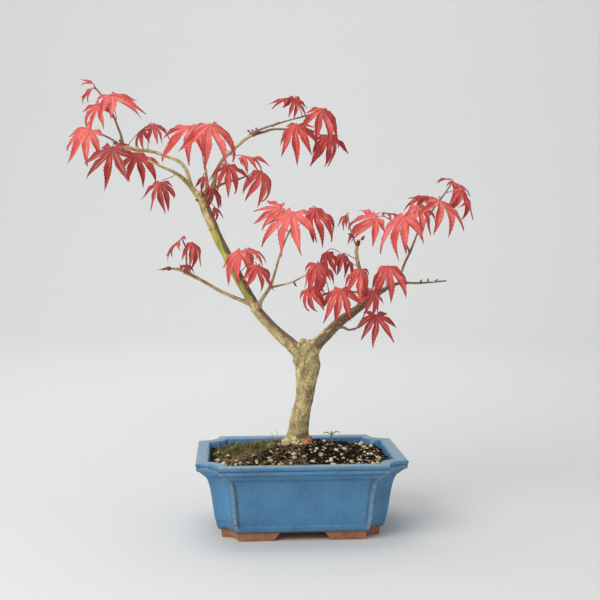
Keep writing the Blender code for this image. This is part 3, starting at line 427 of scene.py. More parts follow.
class Nodes:
    """Short calls that add shader nodes and wire them."""

    def __init__(self, name, roughness, specular=0.5):
        self.material = bpy.data.materials.new(name)
        self.material.use_nodes = True
        self.tree = self.material.node_tree
        self.shader = self.tree.nodes["Principled BSDF"]
        self.shader.inputs["Roughness"].default_value = roughness
        self.shader.inputs["Specular IOR Level"].default_value = specular

    def put(self, socket, value):
        """Link a value's socket to this one, or set this one's constant."""
        if isinstance(value, bpy.types.NodeSocket):
            self.tree.links.new(value, socket)
        elif isinstance(value, tuple) and len(value) == 3 and socket.type == "RGBA":
            socket.default_value = (*value, 1.0)
        else:
            socket.default_value = value

    def add(self, kind, output=0, settings=None, **inputs):
        """A node's output; inputs are given by name, or as _0, _1 and so on by place."""
        node = self.tree.nodes.new(kind)
        for key, value in (settings or {}).items():
            setattr(node, key, value)
        for key, value in inputs.items():
            self.put(node.inputs[int(key[1:]) if key[1:].isdigit() else key], value)
        return node.outputs[output]

    def place(self, scale=(1.0, 1.0, 1.0)):
        """Object coordinates in millimetres, scaled."""
        return self.scaled(self.add("ShaderNodeTexCoord", 3), tuple(1000.0 * s for s in scale))

    def scaled(self, vector, scale):
        """A vector multiplied axis by axis."""
        return self.add("ShaderNodeVectorMath", settings={"operation": "MULTIPLY"},
                        _0=vector, _1=scale)

    def noise(self, vector, size, detail=3.0, rough=0.5):
        """Noise from 0 to 1 whose features are size units wide."""
        return self.add("ShaderNodeTexNoise", Vector=vector, Scale=1.0 / size, Detail=detail,
                        Roughness=rough)

    def cells(self, vector, size, output=0):
        """Distance to the nearest cell's middle, or that cell's own colour (output 1)."""
        return self.add("ShaderNodeTexVoronoi", output, Vector=vector, Scale=1.0 / size)

    def attribute(self, name, output=0):
        """A stored attribute: its colour, its vector (1) or its alpha (3)."""
        return self.add("ShaderNodeAttribute", output, {"attribute_name": name})

    def channel(self, colour, index):
        """A colour's red (0), green (1) or blue (2)."""
        return self.add("ShaderNodeSeparateColor", index, _0=colour)

    def math(self, operation, a, b=0.0, c=0.0):
        return self.add("ShaderNodeMath", settings={"operation": operation}, _0=a, _1=b, _2=c)

    def span(self, value, low, high, out_low=0.0, out_high=1.0):
        """Value eased from low..high to out_low..out_high."""
        return self.add("ShaderNodeMapRange", settings={"interpolation_type": "SMOOTHSTEP"},
                        _0=value, _1=low, _2=high, _3=out_low, _4=out_high)

    def blend(self, share, a, b):
        """Colour a where share is 0 and b where it is 1."""
        node = self.tree.nodes.new("ShaderNodeMix")
        node.data_type = "RGBA"
        self.put(node.inputs[0], share)
        self.put(node.inputs[6], a)
        self.put(node.inputs[7], b)
        return node.outputs[2]

    def bump(self, height, strength, distance):
        """Drive the shader's normal by a height; distance is in millimetres."""
        normal = self.add("ShaderNodeBump", Height=height, Strength=strength,
                          Distance=distance * MM)
        self.put(self.shader.inputs["Normal"], normal)

    def colour(self, value):
        self.put(self.shader.inputs["Base Color"], value)

    def rough(self, value):
        self.put(self.shader.inputs["Roughness"], value)


# ------------------------------------------------------------------ pot

def notch_curve(size):
    """Rounded inner corner of a notch, from its end on one side to its end on the next."""
    curve = []
    for i in range(NOTCH_STEPS + 1):
        angle = math.pi / 2 * i / NOTCH_STEPS
        u, v = (size * abs(trig(angle)) ** (2 / NOTCH_POWER) for trig in (math.cos, math.sin))
        curve.append((u, v))
    return curve


def half_size(inset):
    """Half the pot's width and half its depth, less an inset."""
    return POT_WIDTH / 2 - inset, POT_DEPTH / 2 - inset


def pot_plan(inset, notch, recess=0.0, bead=0.0):
    """Plan of the pot, anticlockwise, with a bead at each end of its four recessed panels."""
    points = []
    for turn in range(4):
        half = half_size(inset)
        along, out = half if turn % 2 == 0 else (half[1], half[0])
        end = along - notch
        steps = [0.35, 0.9, 1.7, 2.6, 3.4, 4.1, 4.7, 5.4, 6.2]
        inner = 22 if turn % 2 == 0 else 12
        reach = end - steps[-1]
        spots = [-end + step for step in steps]
        spots += [mix(-reach, reach, i / inner) for i in range(1, inner)]
        spots += [end - step for step in reversed(steps)]
        local = []
        for x in spots:
            near = end - abs(x)
            rise = bead * (math.sin(math.pi * min(near / BEAD_WIDTH, 1.0))
                           - 0.3 * smooth(1.0 - near / 0.8))
            local.append((x, -out + recess * smooth((near - 3.6) / 2.0) - rise))
        local += [(along - u, -out + v) for u, v in notch_curve(notch)]
        cosine = round(math.cos(math.pi / 2 * turn))
        sine = round(math.sin(math.pi / 2 * turn))
        points += [(x * cosine - y * sine, x * sine + y * cosine) for x, y in local]
    return points


def notch_at(z):
    """Depth of the corner notches at a height."""
    return mix(FOOT_NOTCH, NOTCH, min(max(z / POT_HEIGHT, 0.0), 1.0))


def box_cutter(centre, size, shrink=(0.0, 0.0)):
    """A box from its bottom centre, narrower by shrink on each side at its top."""
    bm = bmesh.new()
    loops = []
    for z, dx, dy in ((0.0, 0.0, 0.0), (size[2], shrink[0], shrink[1])):
        x, y = size[0] / 2 - dx, size[1] / 2 - dy
        loops.append([(centre[0] + sx * x, centre[1] + sy * y, centre[2] + z)
                      for sx, sy in ((-1, -1), (1, -1), (1, 1), (-1, 1))])
    skin(bm, loops)
    return finish_mesh(bm)


def pot_cutters():
    """Openings between the feet, the hollow under the floor, and the drain holes."""
    depth = FOOT_TOP - 0.4 + CUTTER_DROP
    flare = FOOT_GAP_FLARE * depth / (FOOT_TOP - 0.4)
    bottom = (0.0, 0.0, -CUTTER_DROP)
    feet = 2 * (FOOT_INSET + FOOT_WIDTH)
    cutters = [
        box_cutter(bottom, (FOOT_GAP_LONG + 2 * flare, POT_DEPTH, depth), (flare, 0.0)),
        box_cutter(bottom, (POT_WIDTH, FOOT_GAP_SHORT + 2 * flare, depth), (0.0, flare)),
        box_cutter(bottom, (POT_WIDTH - feet, POT_DEPTH - feet, depth)),
    ]
    for x in (-DRAIN_PLACE, DRAIN_PLACE):
        bm = bmesh.new()
        ends = [(x, 0.0, 0.0, DRAIN_RADIUS), (x, 0.0, FLOOR_TOP + 5.0, DRAIN_RADIUS)]
        tube(bm, path_frames(ends), 32)
        cutters.append(finish_mesh(bm))
    return cutters


# Where the glaze is painted dark round the pot, partly glaze pooling in the creases and partly
# painted shade under the overhangs: (height, width, strength)
CREASES = ((9.9, 0.9, 1.0), (64.0, 1.2, 0.5), (71.0, 0.7, 0.8), (75.75, 0.5, 1.0),
           (17.3, 0.8, 0.5), (19.4, 0.7, 0.3))


def pot_marks(point):
    """(glaze worn thin, bare clay, top of the rim, dark creases of pooling glaze and painted
    shade) at a point of the pot.
    """
    x, y, z = point
    half_x, half_y = half_size(inset_at(z))
    from_long = abs(abs(y) - half_y)
    from_short = abs(abs(x) - half_x)
    near = (half_x - notch_at(z) - abs(x) if from_long < from_short
            else half_y - notch_at(z) - abs(y))
    side = min(from_long, from_short)
    ridge = bell(near, 1.7, 1.7) * smooth(1.0 - (side - 1.5) / 3.0)
    groove = bell(near, 5.4, 1.0) * smooth(1.0 - (side - 2.0) / 3.0) * (15.0 < z < 66.0)
    rings = sum(weight * bell(z, height, width) for height, width, weight in CREASES)
    edge = 0.8 * bell(z, 79.3, 0.5) * (side < 1.2)
    lip = 0.7 * bell(side, 11.4, 0.9) * (z > 76.0)
    outside = 1.0 if side < 4.0 or near < 0.0 else 0.0
    rim_x, rim_y = half_size(RIM_WIDTH)
    inside = abs(x) < rim_x and abs(y) < rim_y and z > FLOOR_TOP - 1.0 and not_outer(x, y, z)
    clay = 1.0 if z < 9.25 else smooth((68.0 - z) / 4.0) if inside else 0.0
    wear = max(0.9 * ridge * (z < 75.0), edge, lip, 0.6 * bell(z, 72.6, 0.8) * outside)
    # Dark creases: the groove by each bead and the rings under the overhangs, partly pooling glaze
    # and partly painted shade.
    crease = max(0.75 * groove, rings * (outside and z < 78.5))
    return min(wear, 1.0), clay, smooth((z - 79.2) / 0.5), min(crease, 1.0)


def not_outer(x, y, z):
    """Whether a point lies on the pot's inner wall rather than in a deep corner notch."""
    half_x, half_y = half_size(inset_at(z))
    notch = notch_at(z)
    gap_x, gap_y = half_x - abs(x), half_y - abs(y)
    if abs(x) > half_x - notch and abs(y) > half_y - notch:
        reach = max(gap_x, 0.0) ** NOTCH_POWER + max(gap_y, 0.0) ** NOTCH_POWER
        return reach ** (1 / NOTCH_POWER) > notch + 2.5
    return min(gap_x, gap_y) > 4.0


def inset_at(z):
    """How far the pot's outside lies inside the rim's outline at a height."""
    for (low, a, _), (high, b, _) in zip(OUTER_PROFILE, OUTER_PROFILE[1:]):
        if low <= z <= high:
            return mix(a, b, (z - low) / (high - low))
    return OUTER_PROFILE[-1][1]


def glaze_material():
    """Satin blue glaze that thins to grey-brown on edges, over bare terracotta feet."""
    n = Nodes("blue_glaze_on_terracotta", 0.3)
    here = n.place()
    wear, clay, land = (n.channel(n.attribute("pot_marks"), i) for i in range(3))
    crease = n.attribute("pot_marks", 3)
    clouds = n.noise(here, 34.0, 4.0, 0.55)
    mottle = n.noise(here, 5.0, 4.0, 0.6)
    grain = n.noise(here, 0.9, 2.0, 0.6)
    blue = n.blend(n.span(clouds, 0.32, 0.68), (0.052, 0.185, 0.36), (0.075, 0.25, 0.45))
    blue = n.blend(n.span(mottle, 0.5, 0.85, 0.0, 0.45), blue, (0.12, 0.3, 0.48))
    blue = n.blend(n.span(grain, 0.54, 0.76, 0.0, 0.45), blue, (0.2, 0.38, 0.52))
    blue = n.blend(n.span(grain, 0.22, 0.44, 0.6, 0.0), blue, (0.022, 0.09, 0.22))
    # Painted reflection: the top of the rim is painted paler grey-blue, standing in for the sky it
    # mirrors.
    blue = n.blend(n.math("MULTIPLY", land, 0.85), blue, (0.22, 0.33, 0.41))
    broken = n.noise(n.place((1.0, 1.0, 1.6)), 7.0, 4.0, 0.65)
    thin = n.math("MULTIPLY", wear, n.span(broken, 0.3, 0.62, 0.35, 1.0))
    worn = n.blend(n.span(n.noise(here, 2.5), 0.35, 0.7), (0.2, 0.22, 0.22), (0.36, 0.38, 0.37))
    glaze = n.blend(n.span(thin, 0.12, 0.9, 0.0, 0.9), blue, worn)
    # Painted shade in the creases and under the overhangs, partly glaze pooling there: near-black
    # brown.
    pooled_and_shaded = n.math("MULTIPLY", crease, n.span(broken, 0.25, 0.6, 0.55, 1.0))
    glaze = n.blend(n.span(pooled_and_shaded, 0.1, 0.9, 0.0, 0.9), glaze, (0.05, 0.042, 0.036))
    body = n.blend(n.span(n.noise(here, 9.0, 4.0), 0.3, 0.7), (0.3, 0.13, 0.065), (0.43, 0.2, 0.1))
    body = n.blend(n.span(grain, 0.55, 0.8, 0.0, 0.5), body, (0.6, 0.33, 0.2))
    body = n.blend(n.span(n.cells(here, 6.0), 0.04, 0.1, 0.75, 0.0), body, (0.12, 0.055, 0.035))
    bare = n.span(n.math("ADD", clay, n.span(broken, 0.3, 0.7, -0.25, 0.25)), 0.35, 0.65)
    n.colour(n.blend(bare, glaze, body))
    n.rough(n.add("ShaderNodeMapRange", _0=bare, _1=0.0, _2=1.0,
                  _3=n.span(land, 0.0, 0.5, n.span(mottle, 0.3, 0.7, 0.2, 0.36), 0.38), _4=0.82))
    n.bump(n.math("MULTIPLY", grain, n.span(land, 0.0, 0.5, 1.0, 0.0)), 0.2, 0.08)
    return n.material


def build_pot():
    """The pot's body, lofted up the outside and down the inside, with its openings cut."""
    bm = bmesh.new()
    loops = []
    for z, inset, share in OUTER_PROFILE:
        bead = BEAD_RISE * smooth((z - 9.0) / 3.0) * smooth((72.0 - z) / 3.0)
        plan = pot_plan(inset, notch_at(z), PANEL_DEPTH * share, bead)
        loops.append([(x, y, z) for x, y in plan])
    for z, inset in INNER_PROFILE:
        notch = notch_at(z) * mix(1.0, INNER_NOTCH, smooth((inset - 2.4) / 10.0))
        loops.append([(x, y, z) for x, y in pot_plan(inset, notch)])
    skin(bm, loops)
    body = finish_mesh(bm)
    for cutter in pot_cutters():
        tool = link_object("cutter", cutter)
        body = baked(body, ("BOOLEAN", {"operation": "DIFFERENCE", "solver": "EXACT",
                                        "object": tool}))
        bpy.data.objects.remove(tool)
    body.shade_smooth()
    body.set_sharp_from_angle(angle=math.radians(40))
    marks = [pot_marks((v.co - ORIGIN) / MM) for v in body.vertices]
    set_attribute(body, "pot_marks", "FLOAT_COLOR", marks)
    add_piece("glazed_pot", body, glaze_material(), ["pot"])


# ------------------------------------------------------------------ soil and what lies on it

def soil_height(x, y):
    """Top of the solid soil block, which rises towards the trunk."""
    half_x, half_y = half_size(SOIL_INSET)
    dx, dy = x - TRUNK_BASE[0], y - TRUNK_BASE[1]
    share = max(abs(dx) / half_x, abs(dy) / (half_y - math.copysign(TRUNK_BASE[1], dy)))
    rise = 0.5 + 0.5 * math.cos(math.pi * min(max(share, 0.2), 1.0))
    return SOIL_EDGE + SOIL_MOUND * rise ** 1.2


def lumps(x, y):
    """How far the loose soil lies above its solid block."""
    broad = noise.noise(Vector((x, y, 3.0)) / 14.0)
    fine = noise.noise(Vector((x, y, 9.0)) / 3.4)
    tiny = noise.noise(Vector((x, y, 17.0)) / 1.3)
    return 1.5 + 1.3 * broad + 0.9 * fine + 0.4 * tiny


def soil_top(x, y):
    """Top of the loose soil, never below its solid block."""
    return soil_height(x, y) + max(lumps(x, y), 0.15)


def from_trunk(x, y):
    """Distance in plan from the foot of the trunk."""
    return math.hypot(x - TRUNK_BASE[0], y - TRUNK_BASE[1])


def in_pot(x, y, margin):
    """Whether a place in plan lies on the soil, at least margin from the pot's wall."""
    half_x, half_y = (half - margin for half in half_size(SOIL_INSET))
    notch = notch_at(SOIL_EDGE) * INNER_NOTCH
    if abs(x) > half_x or abs(y) > half_y:
        return False
    u, v = (half_x - abs(x)) / notch, (half_y - abs(y)) / notch
    return u > 1.0 or v > 1.0 or u ** NOTCH_POWER + v ** NOTCH_POWER > 1.0


def soil_material():
    """Damp dark humus with brown fibres and small pale crumbs."""
    n = Nodes("damp_soil", 0.95, 0.12)
    here = n.place()
    crumbs = n.cells(here, 1.9)
    patch = n.noise(here, 14.0, 4.0, 0.6)
    grain = n.noise(here, 1.2, 3.0, 0.65)
    shade = n.blend(n.span(patch, 0.35, 0.65), (0.003, 0.0025, 0.002), (0.016, 0.011, 0.007))
    shade = n.blend(n.span(grain, 0.5, 0.75, 0.0, 0.8), shade, (0.045, 0.03, 0.014))
    shade = n.blend(n.span(n.cells(here, 3.1), 0.1, 0.2, 0.6, 0.0), shade, (0.11, 0.075, 0.04))
    n.colour(shade)
    n.rough(n.span(patch, 0.3, 0.7, 0.65, 0.95))
    n.bump(n.math("ADD", crumbs, grain), 0.9, 1.0)
    return n.material


def build_soil(material):
    """A loose crumbly surface over the solid block of soil."""
    bm = bmesh.new()
    notch = notch_at(SOIL_EDGE) * INNER_NOTCH
    edge = pot_plan(SOIL_INSET + 0.12, notch)
    loops = [[(x, y, SOIL_EDGE - 7.0) for x, y in pot_plan(SOIL_INSET + 1.7, notch)]]
    rings = 34
    for ring in range(rings):
        share = 1.0 - 0.96 * (ring / (rings - 1)) ** 0.85
        loop = []
        for x, y in edge:
            px = mix(TRUNK_BASE[0], x, share)
            py = mix(TRUNK_BASE[1], y, share)
            loop.append((px, py, soil_top(px, py) - 2.2 * smooth((share - 0.97) / 0.03)))
        loops.append(loop)
    skin(bm, loops)
    add_piece("soil_surface", finish_mesh(bm), material)


def add_stone(bm, centre, size, rng, detail):
    """An irregular crumb; size is its three half widths."""
    turn = Matrix.Rotation(rng.uniform(0, math.tau), 3, "Z")
    turn = turn @ Matrix.Rotation(rng.uniform(-0.5, 0.5), 3, "X")
    made = bmesh.ops.create_icosphere(bm, subdivisions=detail, radius=1.0)["verts"]
    shift = Vector((rng.uniform(0, 50), rng.uniform(0, 50), rng.uniform(0, 50)))
    for vert in made:
        lump = (1.0 + 0.28 * noise.noise(vert.co * 1.3 + shift)
                + 0.12 * noise.noise(vert.co * 3.1 + shift))
        point = Vector([along * half for along, half in zip(vert.co * lump, size)])
        vert.co = turn @ point + Vector(centre)


def scatter(rng, count, radius, weight):
    """(x, y) places on the soil, kept with chance weight(x, y) and clear of the trunk."""
    places = []
    while len(places) < count:
        x = rng.uniform(-POT_WIDTH / 2, POT_WIDTH / 2)
        y = rng.uniform(-POT_DEPTH / 2, POT_DEPTH / 2)
        free = in_pot(x, y, radius + 0.3) and from_trunk(x, y) > 14.0 + radius
        if free and rng.random() < weight(x, y):
            places.append((x, y))
    return places


def pumice_weight(x, y):
    """Most of the pumice lies at the front and on the right."""
    front = smooth((20.0 - y) / 60.0)
    return 0.1 + 0.8 * smooth((x + 40.0) / 80.0) * (0.4 + 0.6 * front) + 0.35 * front * (x < 0)


def granule_material(name, dark, pale, dust):
    """Porous grains, each of its own shade between dark and pale."""
    n = Nodes(name, 0.9, 0.15)
    here = n.place()
    each = n.cells(here, 5.5, 1)
    pores = n.noise(here, 0.7, 3.0, 0.7)
    shade = n.blend(n.channel(each, 0), dark, pale)
    shade = n.blend(n.span(pores, 0.2, 0.45, 0.55, 0.0), shade, dust)
    shade = n.blend(n.span(n.noise(here, 3.0), 0.55, 0.75, 0.0, 0.45), shade, dust)
    n.colour(shade)
    n.bump(pores, 0.7, 0.4)
    return n.material


def strew(rng, name, places, radius, spread, sink, detail, material):
    """One piece of loose grains; spread is the range of each half width, in radii."""
    bm = bmesh.new()
    for x, y in places:
        r = radius()
        size = [r * rng.uniform(*span) if span else r for span in spread]
        add_stone(bm, (x, y, soil_top(x, y) + size[2] * sink), size, rng, detail)
    add_piece(name, finish_mesh(bm), material)


def build_granules():
    """Pumice, brown granules and dark crumbs strewn on the soil."""
    rng = random.Random(SEED)
    strew(rng, "pumice_granules", scatter(rng, PUMICE_COUNT, 2.0, pumice_weight),
          lambda: rng.choice([0.8, 1.0, 1.3, 1.7, 2.1, 2.6]) * rng.uniform(0.85, 1.1),
          ((0.9, 1.35), (0.75, 1.0), (0.6, 0.85)), 0.35, 2,
          granule_material("pumice", (0.55, 0.41, 0.23), (0.84, 0.73, 0.52), (0.32, 0.22, 0.12)))
    strew(rng, "brown_granules", scatter(rng, AKADAMA_COUNT, 1.5, lambda x, y: 0.8),
          lambda: rng.uniform(0.8, 2.0), ((0.9, 1.4), None, (0.6, 0.9)), 0.3, 1,
          granule_material("akadama", (0.05, 0.03, 0.014), (0.2, 0.125, 0.06),
                           (0.025, 0.017, 0.01)))
    strew(rng, "humus_crumbs", scatter(rng, CRUMB_COUNT, 1.5, lambda x, y: 0.9),
          lambda: rng.uniform(0.8, 2.3), ((1.0, 2.0), (0.6, 1.0), (0.35, 0.7)), 0.3, 1,
          granule_material("humus", (0.004, 0.0035, 0.003), (0.025, 0.016, 0.01),
                           (0.01, 0.007, 0.005)))


def add_blade(bm, root, tip, arch, width):
    """A thin grass or moss blade, three-sided, from root to tip, rising by arch between."""
    root, tip = Vector(root), Vector(tip)
    side = (tip - root).cross(Vector((0.3, 0.2, 1.0))).normalized()
    up = side.cross((tip - root).normalized())
    loops = []
    for i in range(5):
        t = i / 4
        middle = root.lerp(tip, t) + Vector((0.0, 0.0, arch * 4.0 * t * (1.0 - t)))
        reach = width * (1.0 - 0.85 * t)
        loops.append([middle + side * reach, middle - side * reach * 0.5 + up * reach * 0.8,
                      middle - side * reach * 0.5 - up * reach * 0.8])
    skin(bm, loops)


def straw_material(name, dark, pale):
    """Dry or green blades, streaked between two colours."""
    n = Nodes(name, 0.7, 0.3)
    here = n.place()
    shade = n.blend(n.span(n.noise(here, 6.0, 2.0), 0.3, 0.7), dark, pale)
    n.colour(n.blend(n.span(n.noise(here, 1.1, 2.0), 0.5, 0.8, 0.0, 0.5), shade, dark))
    return n.material


# The few dry stems that stand up: (x, y, tip)
TALL_STEMS = ((-41, -14, (-38, -17, 92)), (-47, 4, (-44, 2, 91)), (-18, 36, (-23, 38, 96)),
              (-24, 34, (-28, 33, 94)), (-20, 26, (-16, 22, 91)), (-52, -2, (-48, -8, 94)))


def build_moss():
    """A dark cushion of moss, its tufts, and dry stems lying over the left of the pot."""
    rng = random.Random(SEED + 1)
    bm = bmesh.new()
    bottom = []
    top = []
    for share in (0.05, 0.15, 0.28, 0.4, 0.52, 0.64, 0.75, 0.85, 0.93, 1.0):
        low = []
        high = []
        for angle in turns(72):
            edge = noise.noise(Vector((math.cos(angle), math.sin(angle), 0)) * 2.2)
            wave = 1.0 - 0.12 * share * (0.5 + 0.5 * edge)
            x = MOSS_CENTRE[0] + MOSS_RADII[0] * share * wave * math.cos(angle)
            y = MOSS_CENTRE[1] + MOSS_RADII[1] * share * wave * math.sin(angle)
            ground = soil_height(x, y) + 0.85
            bumps = 0.9 * noise.noise(Vector((x, y, 1.0)) / 4.5)
            bumps += 0.5 * noise.noise(Vector((x, y, 5.0)) / 1.6)
            low.append((x, y, ground))
            high.append((x, y, ground + max(0.3, 0.5 + 4.2 * (1.0 - share ** 2.4) + bumps)))
        bottom.append(low)
        top.append(high)
    skin(bm, bottom + list(reversed(top)))
    moss = Nodes("moss", 0.95, 0.2)
    here = moss.place()
    patch = moss.span(moss.noise(here, 9.0, 4.0), 0.35, 0.65)
    shade = moss.blend(patch, (0.008, 0.007, 0.004), (0.06, 0.05, 0.018))
    fine = moss.span(moss.noise(here, 1.6, 3.0), 0.5, 0.8, 0.0, 0.8)
    shade = moss.blend(fine, shade, (0.14, 0.11, 0.04))
    moss.colour(shade)
    moss.bump(moss.noise(here, 1.0, 3.0), 1.0, 1.2)
    add_piece("moss_cushion", finish_mesh(bm), moss.material, ["moss_patch"])

    tufts = bmesh.new()
    straw = bmesh.new()
    for _ in range(TUFT_COUNT):
        angle = rng.uniform(0, math.tau)
        reach = math.sqrt(rng.random()) * 1.25
        x = MOSS_CENTRE[0] + MOSS_RADII[0] * reach * math.cos(angle)
        y = MOSS_CENTRE[1] + MOSS_RADII[1] * reach * math.sin(angle)
        if not in_pot(x, y, 2.0) or from_trunk(x, y) < 17.0:
            continue
        z = soil_height(x, y) + (0.6 + 3.6 * max(0.0, 1.0 - reach ** 2.4))
        lean = rng.uniform(0.3, 3.2)
        turn = rng.uniform(0, math.tau)
        tip = (x + lean * math.cos(turn), y + lean * math.sin(turn), z + rng.uniform(1.0, 4.2))
        add_blade(tufts, (x, y, z - 0.6), tip, 0.3, rng.uniform(0.2, 0.38))
    for _ in range(STRAW_COUNT):
        x = rng.uniform(-88.0, 6.0)
        y = rng.uniform(-50.0, 52.0)
        turn = rng.uniform(0, math.tau)
        reach = rng.uniform(4.0, 13.0)
        far = (x + reach * math.cos(turn), y + reach * math.sin(turn))
        ends = ((x, y), far)
        if any(not in_pot(*end, 2.0) or from_trunk(*end) < 16.0 for end in ends):
            continue
        lift = rng.choice([0.4, 0.8, 1.5, 3.0, 6.0])
        add_blade(straw, (x, y, soil_top(x, y) + 0.5), (*far, soil_top(*far) + 0.6 + lift),
                  0.12 * reach, rng.uniform(0.22, 0.42))
    for x, y, tip in TALL_STEMS:
        add_blade(straw, (x, y, soil_top(x, y)), tip, 0.8, 0.5)
    add_piece("moss_tufts", finish_mesh(tufts),
              straw_material("moss_green", (0.06, 0.08, 0.015), (0.3, 0.28, 0.08)))
    add_piece("dry_stems", finish_mesh(straw),
              straw_material("dry_straw", (0.2, 0.13, 0.06), (0.62, 0.48, 0.27)))


# ------------------------------------------------------------------ wood

def wood_frames(name, steps):
    """Frames along a branch's curve, with so many steps between its points."""
    return path_frames(curve_through(WOOD[name], steps))


def thick_part(frames):
    """The stretch of a limb that is wide enough to grow into the common skin."""
    widest = max(i for i, frame in enumerate(frames) if frame[1] >= THICK_FROM)
    return frames[:widest + 1]


def flared(frames):
    """Widen a branch over its first few millimetres, as a collar does."""
    base = frames[0][1]
    return [(c, r + 0.55 * base * math.exp(-along / (1.6 * base)), along, t, s, o)
            for c, r, along, t, s, o in frames]


def knobs(along):
    """Slight rings at the nodes of a twig."""
    return 1.0 + 0.16 * bell((along + 6.0) % 15.0, 7.5, 0.9)


# Lumps at the fork, at joints of the left limb and on the root flare: (x, y, z, radius)
BURLS = [
    (8, 3, 184, 6.4), (3, 6, 187, 5.0), (13, 2, 178, 6.0), (6, 1, 176, 5.2), (11, 7, 190, 4.4),
    (4, 14, 186, 5.6), (5, 9, 190, 5.0), (-2, 3, 172, 4.5), (1, 2, 180, 3.6), (-44, 20, 226, 6.2),
    (-99, 36, 338, 6.0), (-102, 34, 344, 4.2), (-96, 37, 345, 4.4), (-6, 7, 88, 6.0),
    (-13, 6, 85, 5.2), (-3, 5, 86, 5.2), (-13, 4, 88, 4.4), (-4, 2, 89, 4.6), (13, 8, 82, 3.8),
    (8, 5, 85, 4.0), (11, 14, 87, 4.6),
]
# Moss on the fork and cream nodules on the flare: (place, radius, strength)
KNOTS = (((3, 2, 182), 11.0, 1.0), ((-13, 2, 88), 5.5, 2.2), ((-4, 0, 89), 5.5, 2.2))
# Where the bark is darker brown, partly its own colour and partly painted shade on the side away
# from the key light: (direction, offset, strength); elsewhere low on the right
BROWN_AND_SHADED_SIDES = {
    "limb_left": ((0.8, -0.1, 0.45), 0.2, 1.0),
    "limb_right": ((0.5, -0.2, -0.4), 1.0, 0.85),
    "right_low": ((0.0, 0.0, 1.0), 2.0, 1.0),
    "trunk": ((0.8, 0.1, -0.3), -0.2, 0.6),
}


def build_skin():
    """One skin over the trunk, limbs and thicker branches, with its surface relief."""
    bm = bmesh.new()
    for name in WOOD:
        if name in THICK:
            frames = wood_frames(name, 6)
            if not name.startswith(("trunk", "root", "limb")):
                frames = flared(frames)
            tube(bm, thick_part(frames), 20)
    rng = random.Random(SEED + 2)
    for x, y, z, r in BURLS:
        add_stone(bm, (x, y, z), (r, r, r * 1.05), rng, 2)
    return baked(finish_mesh(bm), ("REMESH", {"mode": "VOXEL", "voxel_size": SKIN_VOXEL * MM}),
                 ("SMOOTH", {"factor": 0.5, "iterations": 3}))


def wood_samples():
    """(centre, radius, along, tangent, side, other, name) closely spaced on every branch."""
    return [(*row, name) for name in WOOD for row in wood_frames(name, 14)]


def zones(name, along, point):
    """(green, young, knot) of the bark; above 1 are a coral root and a cream nodule."""
    green = 0.0
    if name == "limb_left":
        green = smooth((along - 78.0) / 22.0) * smooth((182.0 - along) / 14.0)
        green = max(green, 0.25 * smooth((along - 30.0) / 20.0))
    elif name == "limb_right":
        green = 0.2 * smooth((along - 14.0) / 14.0) * smooth((62.0 - along) / 14.0)
    elif name in ("upper_left", "top_left"):
        green = 0.35
    partly = name in ("limb_right", "low_left", "middle")
    young = 1.0 if name in YOUNG else 0.45 if partly else 0.0
    if name == "limb_right":
        young *= smooth((along - 80.0) / 40.0)
    if name == "root_right":
        young = 0.9
    elif name == "root_front":
        young = 0.9 + 1.1 * smooth((91.0 - point.z) / 3.0)
    knot = max(strength * bell((Vector(place) - point).length, 0.0, radius)
               for place, radius, strength in KNOTS)
    return green, young, knot


def mark_wood(mesh, relief):
    """Store the bark's attributes, and raise its relief where that is asked for."""
    samples = wood_samples()
    tree = kdtree.KDTree(len(samples))
    for i, row in enumerate(samples):
        tree.insert(row[0], i)
    tree.balance()
    normals = [vert.normal.copy() for vert in mesh.vertices]
    places = []
    colours = []
    for vert, normal in zip(mesh.vertices, normals):
        point = (vert.co - ORIGIN) / MM
        near = min(tree.find_n(point, 8), key=lambda hit: hit[2] - samples[hit[1]][1])
        centre, radius, along, _, side, other, name = samples[near[1]]
        away = point - centre
        u, v = away.dot(side), away.dot(other)
        green, young, knot = zones(name, along, point)
        # Painted shade: the side facing away from the key light is darkened, partly standing for
        # bark that is browner there.
        toward, bare, most = BROWN_AND_SHADED_SIDES.get(name, ((0.8, 0.1, -0.5), -0.1, 0.7))
        shady = most * smooth(bare + 1.3 * normal.dot(Vector(toward)))
        if name.startswith("limb"):
            shady *= smooth((along - 12.0) / 10.0)
        places.append((u, v, along + 37.0 * len(name)))
        colours.append((green, young, knot, shady))
        if relief:
            cracks = noise.noise(Vector((u / 2.3, v / 2.3, along / 9.0)))
            lump = noise.noise(point / 6.5)
            rings = math.sin(along * 1.5 + 2.0 * noise.noise(point / 4.0))
            rough = noise.noise(point / 1.9)
            lift = min(radius / 12.0, 1.0) * (
                0.85 * lump + 0.2 * cracks - 0.12 * max(0.0, 0.25 - abs(cracks)) * 4.0
                + 0.16 * rings) + knot * 1.2 * noise.noise(point / 2.8) + 0.1 * rough
            vert.co += normal * lift * MM
    set_attribute(mesh, "bark_place", "FLOAT_VECTOR", places)
    set_attribute(mesh, "bark_zone", "FLOAT_COLOR", colours)


